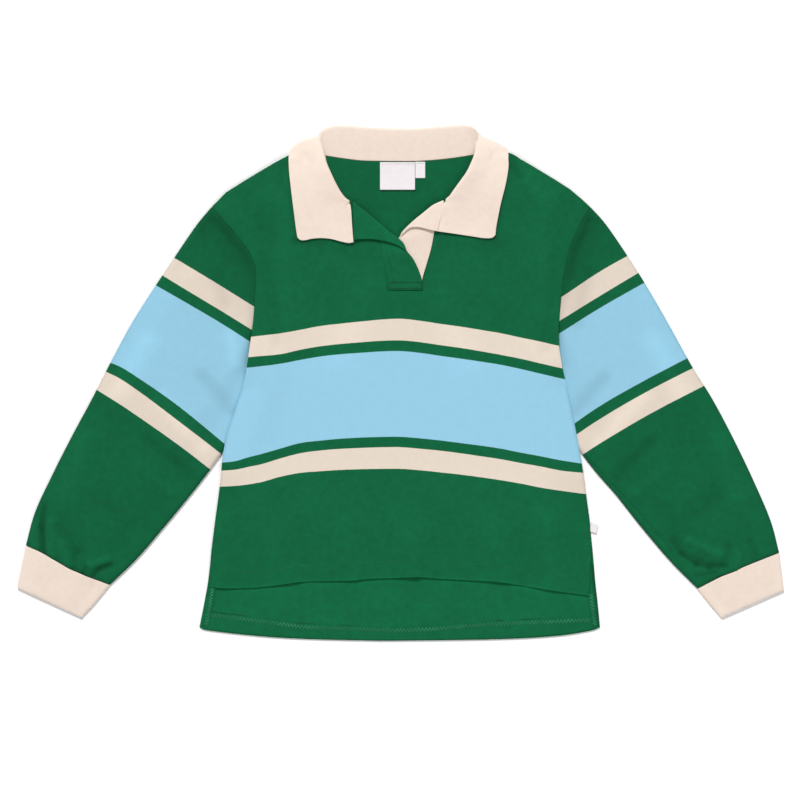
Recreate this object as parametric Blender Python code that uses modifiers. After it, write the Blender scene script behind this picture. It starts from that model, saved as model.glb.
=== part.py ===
"""A child's long-sleeved polo shirt, laid flat on a surface with its front up.

Metres, +Z up. X runs across the shirt, +Y towards the collar, and the floor is
z = 0. The origin is the middle of the shirt's footprint, on the floor. All the
tables below are in millimetres. Every panel is an open surface through its own
sections, given its thickness by a Solidify modifier.
"""

import math

import bmesh
import bpy
import numpy as np
from mathutils import Vector
from mathutils.geometry import delaunay_2d_cdt

MM = 0.001
WALL = 1.2          # thickness of one layer of cloth
SEAM = 0.4          # gap in plan between two pieces that are sewn together
TOUCH = WALL + 0.3  # from the middle of one layer to the middle of the next
LOFT = 2.4          # air between front and back in the middle of the body
SLEEVE_LOFT = 2.5   # air inside a sleeve
NECK_LIFT = 1.6     # the back rises by this over the collar's fall
TUCK_LIFT = 3.1     # the body's side rises by this over the tucked sleeve
AROUND = 20         # points round a sleeve, and twice those down an armhole
PANEL_CELL = 25.0   # grid of the body panels
EDGE_STEP = 14.0    # spacing of points along a panel's outline

# ---------------------------------------------------------------- outlines

# Armhole and side seam of the body, from the shoulder tip down.
# columns: y, x on the left, x on the right
SIDES = [
    (183, -196.5, 202.0),
    (168, -182.5, 191.0),
    (152, -168.5, 181.0),
    (136, -157.0, 174.5),
    (121, -150.8, 171.0),
    (106, -150.0, 168.5),
    (86, -151.3, 166.5),
    (63, -153.0, 164.5),
    (40, -156.0, 164.3),
    (16, -159.5, 168.0),
    (-6, -164.5, 173.5),
    (-29, -172.0, 178.0),
    (-53, -180.0, 182.7),
    (-74, -184.5, 186.6),
    (-100, -187.5, 190.0),
    (-142, -193.0, 195.3),
    (-174, -196.6, 197.6),
    (-205, -199.4, 201.2),
    (-226, -203.8, 203.7),
    (-253, -208.0, 206.3),
]
# Shoulder line, from the tip to the point under the collar.
# columns: x on the left, y there, x on the right, y there
SHOULDERS = [
    (-196.5, 183.0, 202.0, 183.0),
    (-179.5, 200.0, 192.0, 190.0),
    (-163.0, 211.0, 177.5, 200.5),
    (-146.0, 221.0, 162.0, 211.0),
    (-132.0, 229.5, 146.0, 221.0),
    (-121.0, 234.0, 129.0, 231.0),
    (-109.0, 234.5, 116.0, 235.0),
    (-97.0, 235.0, 95.0, 236.0),
]
# Neck seam across the back. columns: x, y
BACK_NECK = [
    (-97, 235.0), (-80, 236.6), (-64, 234.4), (-42, 231.6), (-19, 231.0), (0, 230.6),
    (16, 230.8), (40, 232.4), (57, 234.4), (76, 237.2), (95, 236.0),
]
# Front neck edge under the collar, from the shoulder point to the placket.
# columns: x on the left, y there, x on the right, y there
FRONT_NECK = [
    (-97.0, 235.0, 95.0, 236.0),
    (-91.5, 223.0, 89.5, 223.0),
    (-86.5, 211.0, 84.5, 211.0),
    (-80.5, 200.5, 77.5, 200.5),
    (-72.5, 191.0, 69.0, 191.0),
    (-62.0, 186.2, 59.0, 186.2),
    (-52.0, 186.0, 48.5, 187.0),
]
# The slit that the placket closes: its left edge going down, its right going up.
# columns: x, y
SLIT_LEFT = [
    (-52.0, 186.0), (-39.0, 178.6), (-25.7, 168.2), (-22.3, 160.0), (-20.4, 149.0),
    (-18.8, 136.0), (-17.0, 122.0), (-15.0, 107.0), (-14.5, 96.6),
]
SLIT_RIGHT = [
    (24.6, 96.6), (23.6, 109.4), (27.5, 121.0), (31.8, 137.5), (34.2, 151.0),
    (35.6, 160.0), (37.6, 169.7), (40.2, 178.0), (43.5, 184.0), (48.5, 187.0),
]
# Hems, left to right. columns: x, y
FRONT_HEM = [
    (-200.0, -212.0), (-184, -213.4), (-158, -213.2), (-141, -211.8), (-121, -209.2),
    (-100, -206.6), (-52, -205.4), (-38, -204.0), (0, -202.4), (21, -201.8), (36, -203.2),
    (72, -205.2), (101, -206.8), (123, -210.2), (145, -213.8), (174, -218.2), (196.0, -221.3),
]
BACK_HEM = [
    (-208.0, -253.0), (-199, -256.4), (-149, -261.8), (-100, -265.3), (-38, -266.9),
    (0, -267.1), (101, -265.6), (160, -261.8), (196, -256.8), (206.3, -253.0),
]

# Sleeves, from the armhole to the cuff seam: the outer fold and the inner
# (underarm) fold at each section. columns: outer x, outer y, inner x, inner y
SLEEVE_LEFT = [
    (-197.2, 183.8, -159.6, 12.0),
    (-214.0, 165.0, -161.6, 1.0),
    (-236.5, 128.5, -161.6, -12.0),
    (-258.5, 96.0, -163.0, -28.0),
    (-279.0, 63.0, -168.5, -45.0),
    (-299.5, 25.0, -179.5, -62.0),
    (-320.5, -16.0, -197.0, -87.5),
    (-342.0, -56.0, -219.0, -116.0),
    (-362.5, -96.5, -247.0, -150.0),
    (-380.0, -134.5, -274.5, -182.0),
    (-389.5, -168.8, -302.8, -209.4),
]
SLEEVE_RIGHT = [
    (202.6, 182.8, 166.8, 20.0),
    (217.0, 163.0, 169.6, 7.0),
    (238.5, 127.0, 170.0, -8.0),
    (260.0, 94.5, 171.0, -25.0),
    (281.0, 57.5, 173.5, -42.0),
    (303.0, 17.5, 182.5, -63.0),
    (325.0, -18.0, 199.5, -90.5),
    (347.0, -59.5, 222.5, -118.5),
    (368.0, -103.5, 249.5, -152.5),
    (385.0, -143.5, 280.5, -187.5),
    (393.8, -176.2, 309.6, -213.6),
]
# The seam between sleeve and cuff sags in gathers. columns: share of the way
# from the outer fold to the inner fold, drop below the straight line
CUFF_SEAM_LEFT = [(0.0, 0.0), (0.14, -0.6), (0.45, 1.6), (0.62, 1.2), (0.70, -1.8), (0.86, -1.2), (1.0, 0.0)]
CUFF_SEAM_RIGHT = [(0.0, 0.0), (0.25, 1.4), (0.45, 0.6), (0.65, 1.8), (0.83, 0.8), (1.0, 0.0)]
# Cuffs: the outer and inner fold at each section, from the seam to the edge.
CUFF_LEFT = [
    (-389.6, -169.6, -303.2, -210.2),
    (-391.6, -180.0, -309.6, -218.0),
    (-395.0, -196.0, -320.5, -231.0),
    (-398.4, -213.0, -332.4, -243.4),
]
CUFF_RIGHT = [
    (394.0, -177.0, 310.0, -214.4),
    (395.3, -188.0, 316.0, -222.0),
    (397.0, -201.5, 325.0, -233.0),
    (398.8, -215.2, 334.2, -243.6),
]

# The collar, a row for each section round the neck. Its inner edge is sewn to the
# neck (seam), it turns over at fold, and its fall ends at the edge. It is flat at
# the two front ends, where turn is 0. side is the way the fall lies: 0 under the
# back, 90 round the side of the neck, 180 over the front.
# columns: seam x, y, fold x, y, edge x, y, turn radius, side
COLLAR_LEFT = [
    (-48.9, 146.9, -77.0, 148.0, -106.6, 148.9, 0.0, 180),
    (-50.4, 166.0, -78.0, 164.0, -108.6, 161.5, 0.0, 180),
    (-51.0, 184.2, -79.0, 180.0, -110.4, 174.5, 0.0, 180),
    (-56.5, 187.6, -54.2, 188.4, -111.4, 182.5, 1.2, 180),
    (-62.2, 187.0, -57.2, 191.0, -112.3, 190.0, 1.6, 180),
    (-71.8, 192.2, -62.8, 197.6, -113.4, 199.0, 1.8, 180),
    (-79.8, 201.4, -68.4, 207.5, -114.5, 208.5, 1.9, 180),
    (-85.6, 211.6, -73.4, 217.8, -115.5, 217.8, 2.0, 180),
    (-90.5, 223.6, -77.9, 228.4, -116.1, 226.5, 2.0, 170),
    (-94.0, 230.6, -80.9, 236.4, -116.2, 233.5, 2.0, 150),
    (-96.5, 236.2, -82.8, 245.0, -117.0, 239.2, 2.0, 118),
    (-95.5, 236.8, -83.6, 252.0, -117.6, 242.5, 2.0, 90),
    (-93.5, 237.2, -82.6, 256.8, -116.6, 233.5, 2.0, 55),
    (-88.5, 237.4, -79.4, 261.6, -106.0, 222.0, 2.0, 22),
    (-80.0, 237.4, -71.6, 265.0, -90.0, 211.5, 2.0, 0),
    (-64.0, 235.0, -58.0, 264.6, -68.0, 206.5, 2.0, 0),
    (-42.0, 232.2, -40.0, 263.6, -45.0, 203.0, 2.0, 0),
    (-19.0, 231.5, -18.0, 262.6, -20.0, 201.0, 2.0, 0),
]
COLLAR_RIGHT = [
    (37.9, 157.4, 66.0, 153.6, 98.6, 149.8, 0.0, 180),
    (40.0, 168.4, 69.0, 165.0, 101.4, 163.5, 0.0, 180),
    (43.9, 182.6, 72.0, 178.0, 104.2, 177.0, 0.0, 180),
    (51.8, 189.2, 49.6, 190.0, 105.9, 184.8, 1.2, 180),
    (58.0, 187.2, 52.6, 193.6, 107.2, 192.0, 1.6, 180),
    (68.3, 192.2, 57.4, 201.0, 109.0, 200.5, 1.8, 180),
    (76.4, 201.4, 63.2, 209.4, 110.6, 209.5, 1.9, 180),
    (83.4, 211.8, 69.6, 218.6, 112.2, 218.5, 2.0, 180),
    (88.4, 223.6, 74.2, 229.2, 113.0, 226.8, 2.0, 170),
    (92.0, 231.4, 77.0, 237.4, 113.0, 234.4, 2.0, 150),
    (94.6, 237.2, 79.4, 246.4, 113.4, 241.0, 2.0, 118),
    (93.6, 237.9, 80.6, 253.0, 113.4, 245.4, 2.0, 90),
    (91.5, 238.2, 79.6, 257.8, 112.6, 236.0, 2.0, 55),
    (86.5, 238.3, 77.0, 262.6, 102.6, 224.0, 2.0, 22),
    (76.0, 237.9, 69.8, 265.6, 86.0, 213.0, 2.0, 0),
    (57.0, 235.1, 54.6, 264.8, 64.0, 207.5, 2.0, 0),
    (40.0, 233.1, 37.6, 263.2, 42.0, 203.6, 2.0, 0),
    (18.0, 231.5, 17.0, 260.8, 20.0, 201.2, 2.0, 0),
]

# The placket's two strips, from the foot of the slit up. Each is sewn to the slit
# at seam, and its upper end rolls outwards at roll as far as edge; turn is 0
# where it still lies flat. columns: seam x, y, roll x, y, edge x, y, turn, rise of the edge
PLACKET_OVER = [
    (-14.1, 97.0, 5.0, 97.0, 24.1, 97.0, 0.0, 0.9),
    (-14.6, 107.0, 4.0, 107.0, 21.8, 106.6, 0.0, 1.1),
    (-16.6, 122.0, 0.0, 122.0, 16.1, 121.4, 0.0, 1.6),
    (-18.4, 136.2, 5.6, 136.4, 3.2, 136.8, 1.0, 3.4),
    (-19.8, 149.0, -3.0, 148.2, -15.6, 145.4, 1.2, 2.9),
    (-21.4, 160.2, -13.4, 158.8, -30.4, 146.6, 1.3, 2.5),
    (-24.8, 168.9, -23.2, 170.4, -39.6, 147.2, 1.3, 2.2),
    (-38.4, 179.4, -37.0, 180.8, -44.2, 147.5, 1.3, 2.1),
    (-50.0, 187.0, -49.2, 187.8, -47.9, 147.6, 1.3, 2.1),
]
PLACKET_UNDER = [
    (23.9, 100.0, 6.0, 100.0, -10.6, 100.0, 0.0, -0.6),
    (23.0, 109.4, 6.0, 110.0, -9.6, 111.0, 0.0, -0.6),
    (26.8, 121.2, 9.0, 123.0, -7.6, 126.0, 0.0, -0.6),
    (31.2, 137.5, 14.0, 138.0, -4.4, 139.6, 0.0, -0.6),
    (33.6, 151.0, 16.0, 150.6, -1.2, 150.0, 0.0, -0.3),
    (34.9, 159.0, 4.2, 159.6, 8.4, 159.4, 1.0, 3.0),
    (36.4, 165.5, 9.0, 165.2, 12.6, 161.4, 1.1, 3.2),
    (37.0, 169.9, 14.6, 171.2, 18.4, 160.8, 1.2, 3.0),
    (39.5, 178.2, 26.8, 180.4, 28.8, 159.0, 1.3, 2.8),
    (42.6, 184.6, 36.8, 187.6, 35.6, 158.0, 1.3, 2.5),
    (46.4, 188.4, 44.6, 188.9, 37.2, 157.6, 1.3, 2.2),
]

# Labels: where each is sewn in and how it lies.
# columns: centre x, centre y, width, length, turn in degrees
NECK_LABEL = (-3.1, 215.6, 36.4, 28.8, 0.0)
SIZE_LABEL = (20.6, 221.9, 10.2, 17.0, 0.0)
SIDE_TAB = (201.3, -151.0, 7.6, 8.8, -14.0)

# Colours (linear), roughness
GREEN = ((0.010, 0.140, 0.060), 0.85)
CREAM = ((0.880, 0.745, 0.640), 0.85)
WHITE = ((0.880, 0.850, 0.860), 0.70)


# ---------------------------------------------------------------- helpers


def smooth(a, b, x):
    """0 below a, 1 above b, eased between them."""
    t = np.clip((np.asarray(x, float) - a) / (b - a), 0.0, 1.0)
    return t * t * (3 - 2 * t)


def table(rows, key, column):
    """A column of a table as a smooth function of another column."""
    rows = sorted((row[key], row[column]) for row in rows)
    xs, ys = np.array(rows, float).T
    slopes = np.gradient(ys, xs)

    def value(x):
        x = np.clip(np.asarray(x, float), xs[0], xs[-1])
        i = np.clip(np.searchsorted(xs, x) - 1, 0, len(xs) - 2)
        h = xs[i + 1] - xs[i]
        t = (x - xs[i]) / h
        return (
            (2 * t**3 - 3 * t**2 + 1) * ys[i]
            + (t**3 - 2 * t**2 + t) * h * slopes[i]
            + (3 * t**2 - 2 * t**3) * ys[i + 1]
            + (t**3 - t**2) * h * slopes[i + 1]
        )

    return value


def spline(points, count=None, step=None):
    """Points spaced evenly along a smooth line through the given ones."""
    points = np.array(points, float)
    ends = np.vstack([2 * points[0] - points[1], points, 2 * points[-1] - points[-2]])
    fine = []
    for a, b, c, d in zip(ends, ends[1:], ends[2:], ends[3:]):
        for t in np.arange(0, 1, 0.05):
            fine.append(
                0.5 * (2 * b + (c - a) * t + (2 * a - 5 * b + 4 * c - d) * t**2
                       + (3 * b - a - 3 * c + d) * t**3)
            )
    fine = np.array(fine + [points[-1]])
    return resample(fine, count or max(2, round(length(fine) / step) + 1))


def length(line):
    return float(np.linalg.norm(np.diff(line, axis=0), axis=1).sum())


def resample(line, count):
    line = np.array(line, float)
    run = np.concatenate([[0], np.cumsum(np.linalg.norm(np.diff(line, axis=0), axis=1))])
    wanted = np.linspace(0, run[-1], count)
    return np.stack([np.interp(wanted, run, line[:, k]) for k in range(line.shape[1])], 1)


def distance(x, y, line):
    """Distance in plan from each point to a polyline."""
    p = np.stack([np.asarray(x, float), np.asarray(y, float)], -1)[..., None, :]
    line = np.asarray(line, float)
    a, b = line[:-1], line[1:]
    ab = b - a
    t = np.clip(((p - a) * ab).sum(-1) / (ab * ab).sum(-1), 0, 1)
    return np.linalg.norm(p - (a + t[..., None] * ab), axis=-1).min(-1)


def inside(x, y, outline):
    """Whether each point is in the polygon."""
    x, y = np.asarray(x, float), np.asarray(y, float)
    found = np.zeros(x.shape, bool)
    for (ax, ay), (bx, by) in zip(outline, np.roll(outline, -1, axis=0)):
        if ay != by:
            found ^= ((ay > y) != (by > y)) & (x < (bx - ax) * (y - ay) / (by - ay) + ax)
    return found


# ---------------------------------------------------------------- heights

LEFT_X, RIGHT_X = table(SIDES, 0, 1), table(SIDES, 0, 2)
SHOULDER_L = [row[:2] for row in SHOULDERS]
SHOULDER_R = [row[2:] for row in SHOULDERS]
SEAM_L = [(row[1], row[0]) for row in SIDES if row[0] < 12]
SEAM_R = [(row[2], row[0]) for row in SIDES if row[0] < 12]


def back_z(x, y):
    """Middle of the back panel: flat on the floor, over the collar's fall at the
    neck, and over the tucked sleeves at its sides."""
    x, y = np.asarray(x, float), np.asarray(y, float)
    neck = smooth(168, 196, y) * (1 - smooth(122, 160, np.abs(x)))
    inward = np.minimum(x - LEFT_X(y), RIGHT_X(y) - x)
    tuck = (1 - smooth(24, 84, y)) * smooth(-124, -88, y)
    return WALL / 2 + NECK_LIFT * neck + TUCK_LIFT * tuck * (1 - smooth(15, 58, inward))


def front_z(x, y):
    """Middle of the front panel: it lies on the back along the shoulder and side
    seams, and swells off it between them."""
    x, y = np.asarray(x, float), np.asarray(y, float)
    closed = np.minimum.reduce(
        [distance(x, y, line) for line in (SHOULDER_L, SHOULDER_R, SEAM_L, SEAM_R)]
    )
    hem = smooth(-205, -160, y)
    return back_z(x, y) + TOUCH + LOFT * smooth(0, 30, closed) * (0.3 + 0.7 * hem)


# ---------------------------------------------------------------- surfaces


def make_object(name, mesh_maker, look, thickness=WALL):
    """An object from a bmesh of its middle surface, with its own material."""
    bm = bmesh.new()
    mesh_maker(bm)
    bmesh.ops.recalc_face_normals(bm, faces=bm.faces)
    mesh = bpy.data.meshes.new(name)
    bm.to_mesh(mesh)
    bm.free()
    mesh.shade_smooth()
    part = bpy.data.objects.new(name, mesh)
    shirt.objects.link(part)
    wall = part.modifiers.new("wall", "SOLIDIFY")
    wall.thickness = thickness * MM
    wall.offset = 0.0
    colour, roughness = look
    material = bpy.data.materials.new(name)
    material.use_nodes = True
    shader = material.node_tree.nodes["Principled BSDF"]
    shader.inputs["Base Color"].default_value = (*colour, 1)
    shader.inputs["Roughness"].default_value = roughness
    shader.inputs["Metallic"].default_value = 0
    mesh.materials.append(material)
    part.parent = root
    return part


def panel(outline, height, cell):
    """A flat-laid panel: its outline filled with a grid, each point at its height."""

    def build(bm):
        x0, y0 = outline.min(0)
        x1, y1 = outline.max(0)
        gx, gy = np.meshgrid(
            np.arange(x0 + cell / 2, x1, cell), np.arange(y0 + cell / 2, y1, cell)
        )
        gx, gy = gx.ravel(), gy.ravel()
        keep = inside(gx, gy, outline)
        keep &= distance(gx, gy, np.vstack([outline, outline[:1]])) > 0.45 * cell
        points = [Vector(p) for p in outline]
        points += [Vector(p) for p in zip(gx[keep], gy[keep])]
        found = delaunay_2d_cdt(points, [], [list(range(len(outline)))], 1, 1e-6)
        flat = np.array([tuple(p) for p in found[0]])
        tall = height(flat[:, 0], flat[:, 1])
        verts = [bm.verts.new((x * MM, y * MM, z * MM)) for (x, y), z in zip(flat, tall)]
        for face in found[2]:
            bm.faces.new([verts[i] for i in face])

    return build


def loft(rows, closed=False):
    """A surface through rows of points, closed round each row for a tube."""

    def build(bm):
        grid = [[bm.verts.new(Vector(p) * MM) for p in row] for row in rows]
        for one, two in zip(grid, grid[1:]):
            around = len(one) if closed else len(one) - 1
            for k in range(around):
                n = (k + 1) % len(one)
                bm.faces.new((one[k], one[n], two[n], two[k]))

    return build


def across_share(half):
    """How far across a tube each point of a ring is, closer together at the folds."""
    return 0.5 - 0.5 * np.cos(np.linspace(0, math.pi, half + 1))


def between(rows, count):
    """More rows, evenly spaced on smooth lines down the columns of a table."""
    return spline([row for row in rows], count=count)


def armhole_line(side, apart):
    """The armhole in plan, from the shoulder tip to the underarm, moved outwards
    by apart. The body's outline and the sleeve's mouth use the same points."""
    column, low = (1, 10) if side < 0 else (2, 18)
    last = (-159.9, 12.5) if side < 0 else (167.2, 20.0)
    points = [(row[column], row[0]) for row in SIDES if row[0] > low + 8] + [last]
    line = spline(points, count=400)
    line = line[np.round(across_share(AROUND // 2) * 399).astype(int)]
    run = np.gradient(line, axis=0)
    out = np.stack([run[:, 1], -run[:, 0]], 1) / np.linalg.norm(run, axis=1, keepdims=True)
    out *= np.sign(out[:, :1]) * side
    return line + out * apart


# ---------------------------------------------------------------- body


def body_outline(front):
    """The outline of the front or the back panel, anticlockwise from the left hem."""
    step = EDGE_STEP
    low_l, low_r = (-212.0, -221.3) if front else (-253.0, -253.0)
    hem = FRONT_HEM if front else BACK_HEM
    arm_l, arm_r = armhole_line(-1, 0), armhole_line(1, 0)
    right = [(row[2], row[0]) for row in SIDES if low_r + 14 < row[0] < 17]
    left = [(row[1], row[0]) for row in SIDES if low_l + 14 < row[0] < 12]
    right = [hem[-1]] + right[::-1] + [arm_r[-1]]
    left = [arm_l[-1]] + left + [hem[0]]
    pieces = [spline(hem, step=step), spline(right, step=step), arm_r[::-1]]
    pieces.append(spline(SHOULDER_R, step=step))
    if front:
        pieces += [
            spline([row[2:] for row in FRONT_NECK], step=step * 0.7),
            spline(SLIT_RIGHT[::-1], step=step * 0.7),
            np.array([SLIT_RIGHT[0], SLIT_LEFT[-1]]),
            spline(SLIT_LEFT[::-1], step=step * 0.7),
            spline([row[:2] for row in FRONT_NECK][::-1], step=step * 0.7),
        ]
    else:
        pieces.append(spline(BACK_NECK[::-1], step=step * 0.8))
    pieces += [spline(SHOULDER_L[::-1], step=step), arm_l, spline(left, step=step)]
    return np.vstack([piece[:-1] for piece in pieces])


# ---------------------------------------------------------------- sleeves


def tube_rows(rows, mouth, cuff_sag, count, around, loft_height, top_z=None, squeeze=0.0):
    """Rings of a flattened tube. rows gives its two folds, mouth its curved start,
    and cuff_sag how far its far end sags off the straight line."""
    folds = between(rows, count)
    half = around // 2
    share = across_share(half)
    rings = []
    for k, (ox, oy, ix, iy) in enumerate(folds):
        along = k / (count - 1)
        outer, inner = np.array([ox, oy]), np.array([ix, iy])
        line = outer + share[:, None] * (inner - outer)
        if mouth is not None:
            chord = folds[0][:2] + share[:, None] * (folds[0][2:] - folds[0][:2])
            line = line + (mouth - chord) * (1 - smooth(0, 0.42, along))
        if cuff_sag is not None:
            across = (inner - outer) / np.linalg.norm(inner - outer)
            down = np.array([across[1], -across[0]])
            down = down if down[1] < 0 else -down
            sag = table(cuff_sag, 0, 1)(share)
            line = line + sag[:, None] * down * smooth(0.72, 1.0, along)
        width = np.linalg.norm(inner - outer)
        edge = np.minimum(share, 1 - share) * width
        swell = smooth(squeeze, squeeze + 30, (1 - share) * width) * smooth(0, 26, share * width)
        fullness = loft_height(along)
        z_up = WALL / 2 + TOUCH + fullness * swell
        z_low = np.full_like(z_up, WALL / 2)
        tip_out, tip_in = line[0], line[-1]
        pull = np.clip(1 - edge / 1.6, 0, 1)
        inward = np.gradient(line, axis=0)
        inward /= np.linalg.norm(inward, axis=1, keepdims=True)
        inward *= np.where(share < 0.5, 1, -1)[:, None]
        shifted = line + inward * pull[:, None] * 0.75
        upper = np.column_stack([shifted, z_up])
        lower = np.column_stack([shifted, z_low])[::-1]
        middle = WALL / 2 + TOUCH / 2
        rings.append(
            np.vstack([[[*tip_out, middle]], upper, [[*tip_in, middle]], lower])
        )
    return rings


# ---------------------------------------------------------------- collar and placket


def turned(seam, fold, edge, radius, side, count):
    """A section from the seam, round the fold, to the edge, evenly spaced."""
    seam, fold, edge = (np.array(p, float) for p in (seam, fold, edge))
    if radius < 0.05:
        return resample([seam, edge], count)
    to_fold = fold - seam
    to_edge = edge - fold
    flat_1 = np.array([to_fold[0], to_fold[1], 0.0])
    flat_2 = np.array([to_edge[0], to_edge[1], 0.0])
    flat_1 /= np.linalg.norm(flat_1)
    flat_2 /= np.linalg.norm(flat_2)
    tip = flat_1 - flat_2
    tip /= np.linalg.norm(tip)
    aside = np.array([-tip[1], tip[0], 0.0])
    if aside @ (seam - edge) < 0:
        aside = -aside
    turn = math.radians(side)
    apart = math.cos(turn) * np.array([0, 0, 1.0]) + math.sin(turn) * aside
    arc = [
        fold + radius * (math.sin(a) * tip * 0.9 + math.cos(a) * apart)
        for a in np.linspace(0, math.pi, 9)
    ]
    reach_1, reach_2 = np.linalg.norm(arc[0] - seam), np.linalg.norm(edge - arc[-1])
    lead_1 = arc[0] - tip * min(0.5 * reach_1, 8.0)
    lead_2 = arc[-1] - tip * min(0.4 * reach_2, 10.0)
    lead_1[:2] = arc[0][:2] - flat_1[:2] * min(0.5 * reach_1, 8.0)
    lead_2[:2] = arc[-1][:2] + flat_2[:2] * min(0.4 * reach_2, 10.0)
    line = [bezier(seam, seam + (lead_1 - seam) * 0.5, lead_1, arc[0]), arc[1:-1],
            bezier(arc[-1], lead_2, lead_2 + (edge - lead_2) * 0.5, edge)]
    return resample(np.vstack(line), count)


def bezier(a, b, c, d):
    t = np.linspace(0, 1, 16)[:, None]
    return (1 - t) ** 3 * a + 3 * t * (1 - t) ** 2 * b + 3 * t * t * (1 - t) * c + t**3 * d


def collar_rows(rows_left, rows_right, count, stations):
    """Sections of the collar, from the left front end round the back to the right."""
    rows = [list(map(float, row)) for row in rows_left] + [list(map(float, row)) for row in rows_right[::-1]]
    rows = rows if stations is None else between(rows, stations)
    sections = []
    for sx, sy, fx, fy, ex, ey, radius, side in rows:
        over = smooth(95, 165, side)
        under = 1 - smooth(55, 90, side)
        f_z = float(front_z(ex, ey))
        flat = 1 - smooth(0.0, 1.2, radius)
        level = float(front_z(sx, sy))
        seam_z = (1 - over) * (back_z(sx, sy) + 1.0 * (1 - under)) + over * (level + 2.7 * flat)
        fold_z = (1 - over) * (WALL / 2 + radius + 0.1 + 0.9 * (1 - under)) + over * (level + radius + 0.1)
        edge_z = (
            over * (f_z + TOUCH + 0.4)
            + (1 - over) * (WALL / 2 * under + 3.2 * (1 - under))
        )
        section = turned((sx, sy, seam_z), (fx, fy, fold_z), (ex, ey, edge_z), radius, side, count)
        if over > 0.98:
            # Past the fold, the fall lies on the front.
            start = 0 if radius < 0.05 else int(np.argmin(np.abs(section[:, 0]))) + 1
            clear = front_z(section[start:, 0], section[start:, 1]) + TOUCH + 0.25
            section[start:, 2] = np.maximum(section[start:, 2], clear)
        sections.append(section)
    return sections


def strip_rows(rows, count, stations, rise, ramp):
    """Sections of one of the placket's strips."""
    rows = [list(map(float, row)) for row in rows]
    rows = rows if stations is None else between(rows, stations)
    sections = []
    for sx, sy, rx, ry, ex, ey, radius, edge_rise in rows:
        level = float(front_z(sx, sy))
        seam, roll, edge = (
            (sx, sy, level), (rx, ry, level + rise + radius), (ex, ey, level + edge_rise)
        )
        section = turned(seam, roll, edge, radius, 180, count)
        run = np.linalg.norm(section[:, :2] - np.array([sx, sy]), axis=1)
        if radius < 0.05:
            section[:, 2] = level + rise * smooth(-0.1, ramp, run) + (edge_rise - rise) * smooth(3, 34, run)
        sections.append(section)
    return sections


# ---------------------------------------------------------------- build

for old in list(bpy.data.objects):
    bpy.data.objects.remove(old, do_unlink=True)
shirt = bpy.data.collections.new("polo_shirt")
bpy.context.scene.collection.children.link(shirt)
root = bpy.data.objects.new("shirt_root", None)
shirt.objects.link(root)

make_object("back_panel", panel(body_outline(False), back_z, PANEL_CELL), GREEN)
make_object("front_panel", panel(body_outline(True), front_z, PANEL_CELL), GREEN)


def sleeve_fullness(along):
    return SLEEVE_LOFT * (0.85 + 0.15 * math.sin(math.pi * along))


def cuff_fullness(along):
    return SLEEVE_LOFT * (0.85 - 0.35 * along)


for name, rows, side, sag in (
    ("sleeve_viewer_left", SLEEVE_LEFT, -1, CUFF_SEAM_LEFT),
    ("sleeve_viewer_right", SLEEVE_RIGHT, 1, CUFF_SEAM_RIGHT),
):
    rings = tube_rows(rows, armhole_line(side, SEAM), sag, 15, 20, sleeve_fullness, squeeze=16)
    make_object(name, loft(rings, closed=True), GREEN)

for name, rows, sag in (
    ("cuff_viewer_left", CUFF_LEFT, CUFF_SEAM_LEFT),
    ("cuff_viewer_right", CUFF_RIGHT, CUFF_SEAM_RIGHT),
):
    rings = tube_rows(rows[::-1], None, sag, 5, 20, lambda along: cuff_fullness(1 - along))
    make_object(name, loft(rings, closed=True), CREAM)

make_object("collar", loft(collar_rows(COLLAR_LEFT, COLLAR_RIGHT, 13, None)), CREAM)
make_object("placket_over", loft(strip_rows(PLACKET_OVER, 11, None, 0.9, 3.0)), GREEN)
make_object("placket_under", loft(strip_rows(PLACKET_UNDER, 11, None, -0.6, 0.0)), CREAM)


def lying(cx, cy, width, deep, turn, height, nx, ny):
    """A small label lying on the panel under it."""
    c, s = math.cos(math.radians(turn)), math.sin(math.radians(turn))
    rows = []
    for v in np.linspace(0.5, -0.5, ny):
        row = []
        for u in np.linspace(-0.5, 0.5, nx):
            x, y = cx + c * u * width - s * v * deep, cy + s * u * width + c * v * deep
            row.append((x, y, float(height(x, y))))
        rows.append(row)
    return rows


def on_back(x, y):
    return back_z(x, y) + TOUCH + 0.15


make_object("neck_label", loft(lying(*NECK_LABEL, on_back, 6, 5)), WHITE, 1.0)
make_object("size_label", loft(lying(*SIZE_LABEL, on_back, 3, 4)), WHITE, 1.0)
make_object("side_tab", loft(lying(*SIDE_TAB, lambda x, y: 0.5, 3, 3)), WHITE, 1.0)
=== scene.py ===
"""Looks of the laid-out polo shirt: cloth shells, bands, stitching, light and camera.

Tables are in millimetres, in the part's own frame.
"""

import math

import bmesh
import bpy
import numpy as np
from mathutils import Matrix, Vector
from mathutils.geometry import delaunay_2d_cdt


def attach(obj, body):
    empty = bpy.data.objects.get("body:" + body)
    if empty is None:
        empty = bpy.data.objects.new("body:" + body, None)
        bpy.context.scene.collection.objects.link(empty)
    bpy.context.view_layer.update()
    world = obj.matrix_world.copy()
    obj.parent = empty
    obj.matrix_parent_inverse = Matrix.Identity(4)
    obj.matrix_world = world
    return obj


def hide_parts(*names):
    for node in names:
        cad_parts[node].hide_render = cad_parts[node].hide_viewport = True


WORLD = 0.31  # even light from all round
KEY = 705.0    # the soft lamp beyond the collar, in watts
FILL = 25.0   # the softer lamp in front of the hem

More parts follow.
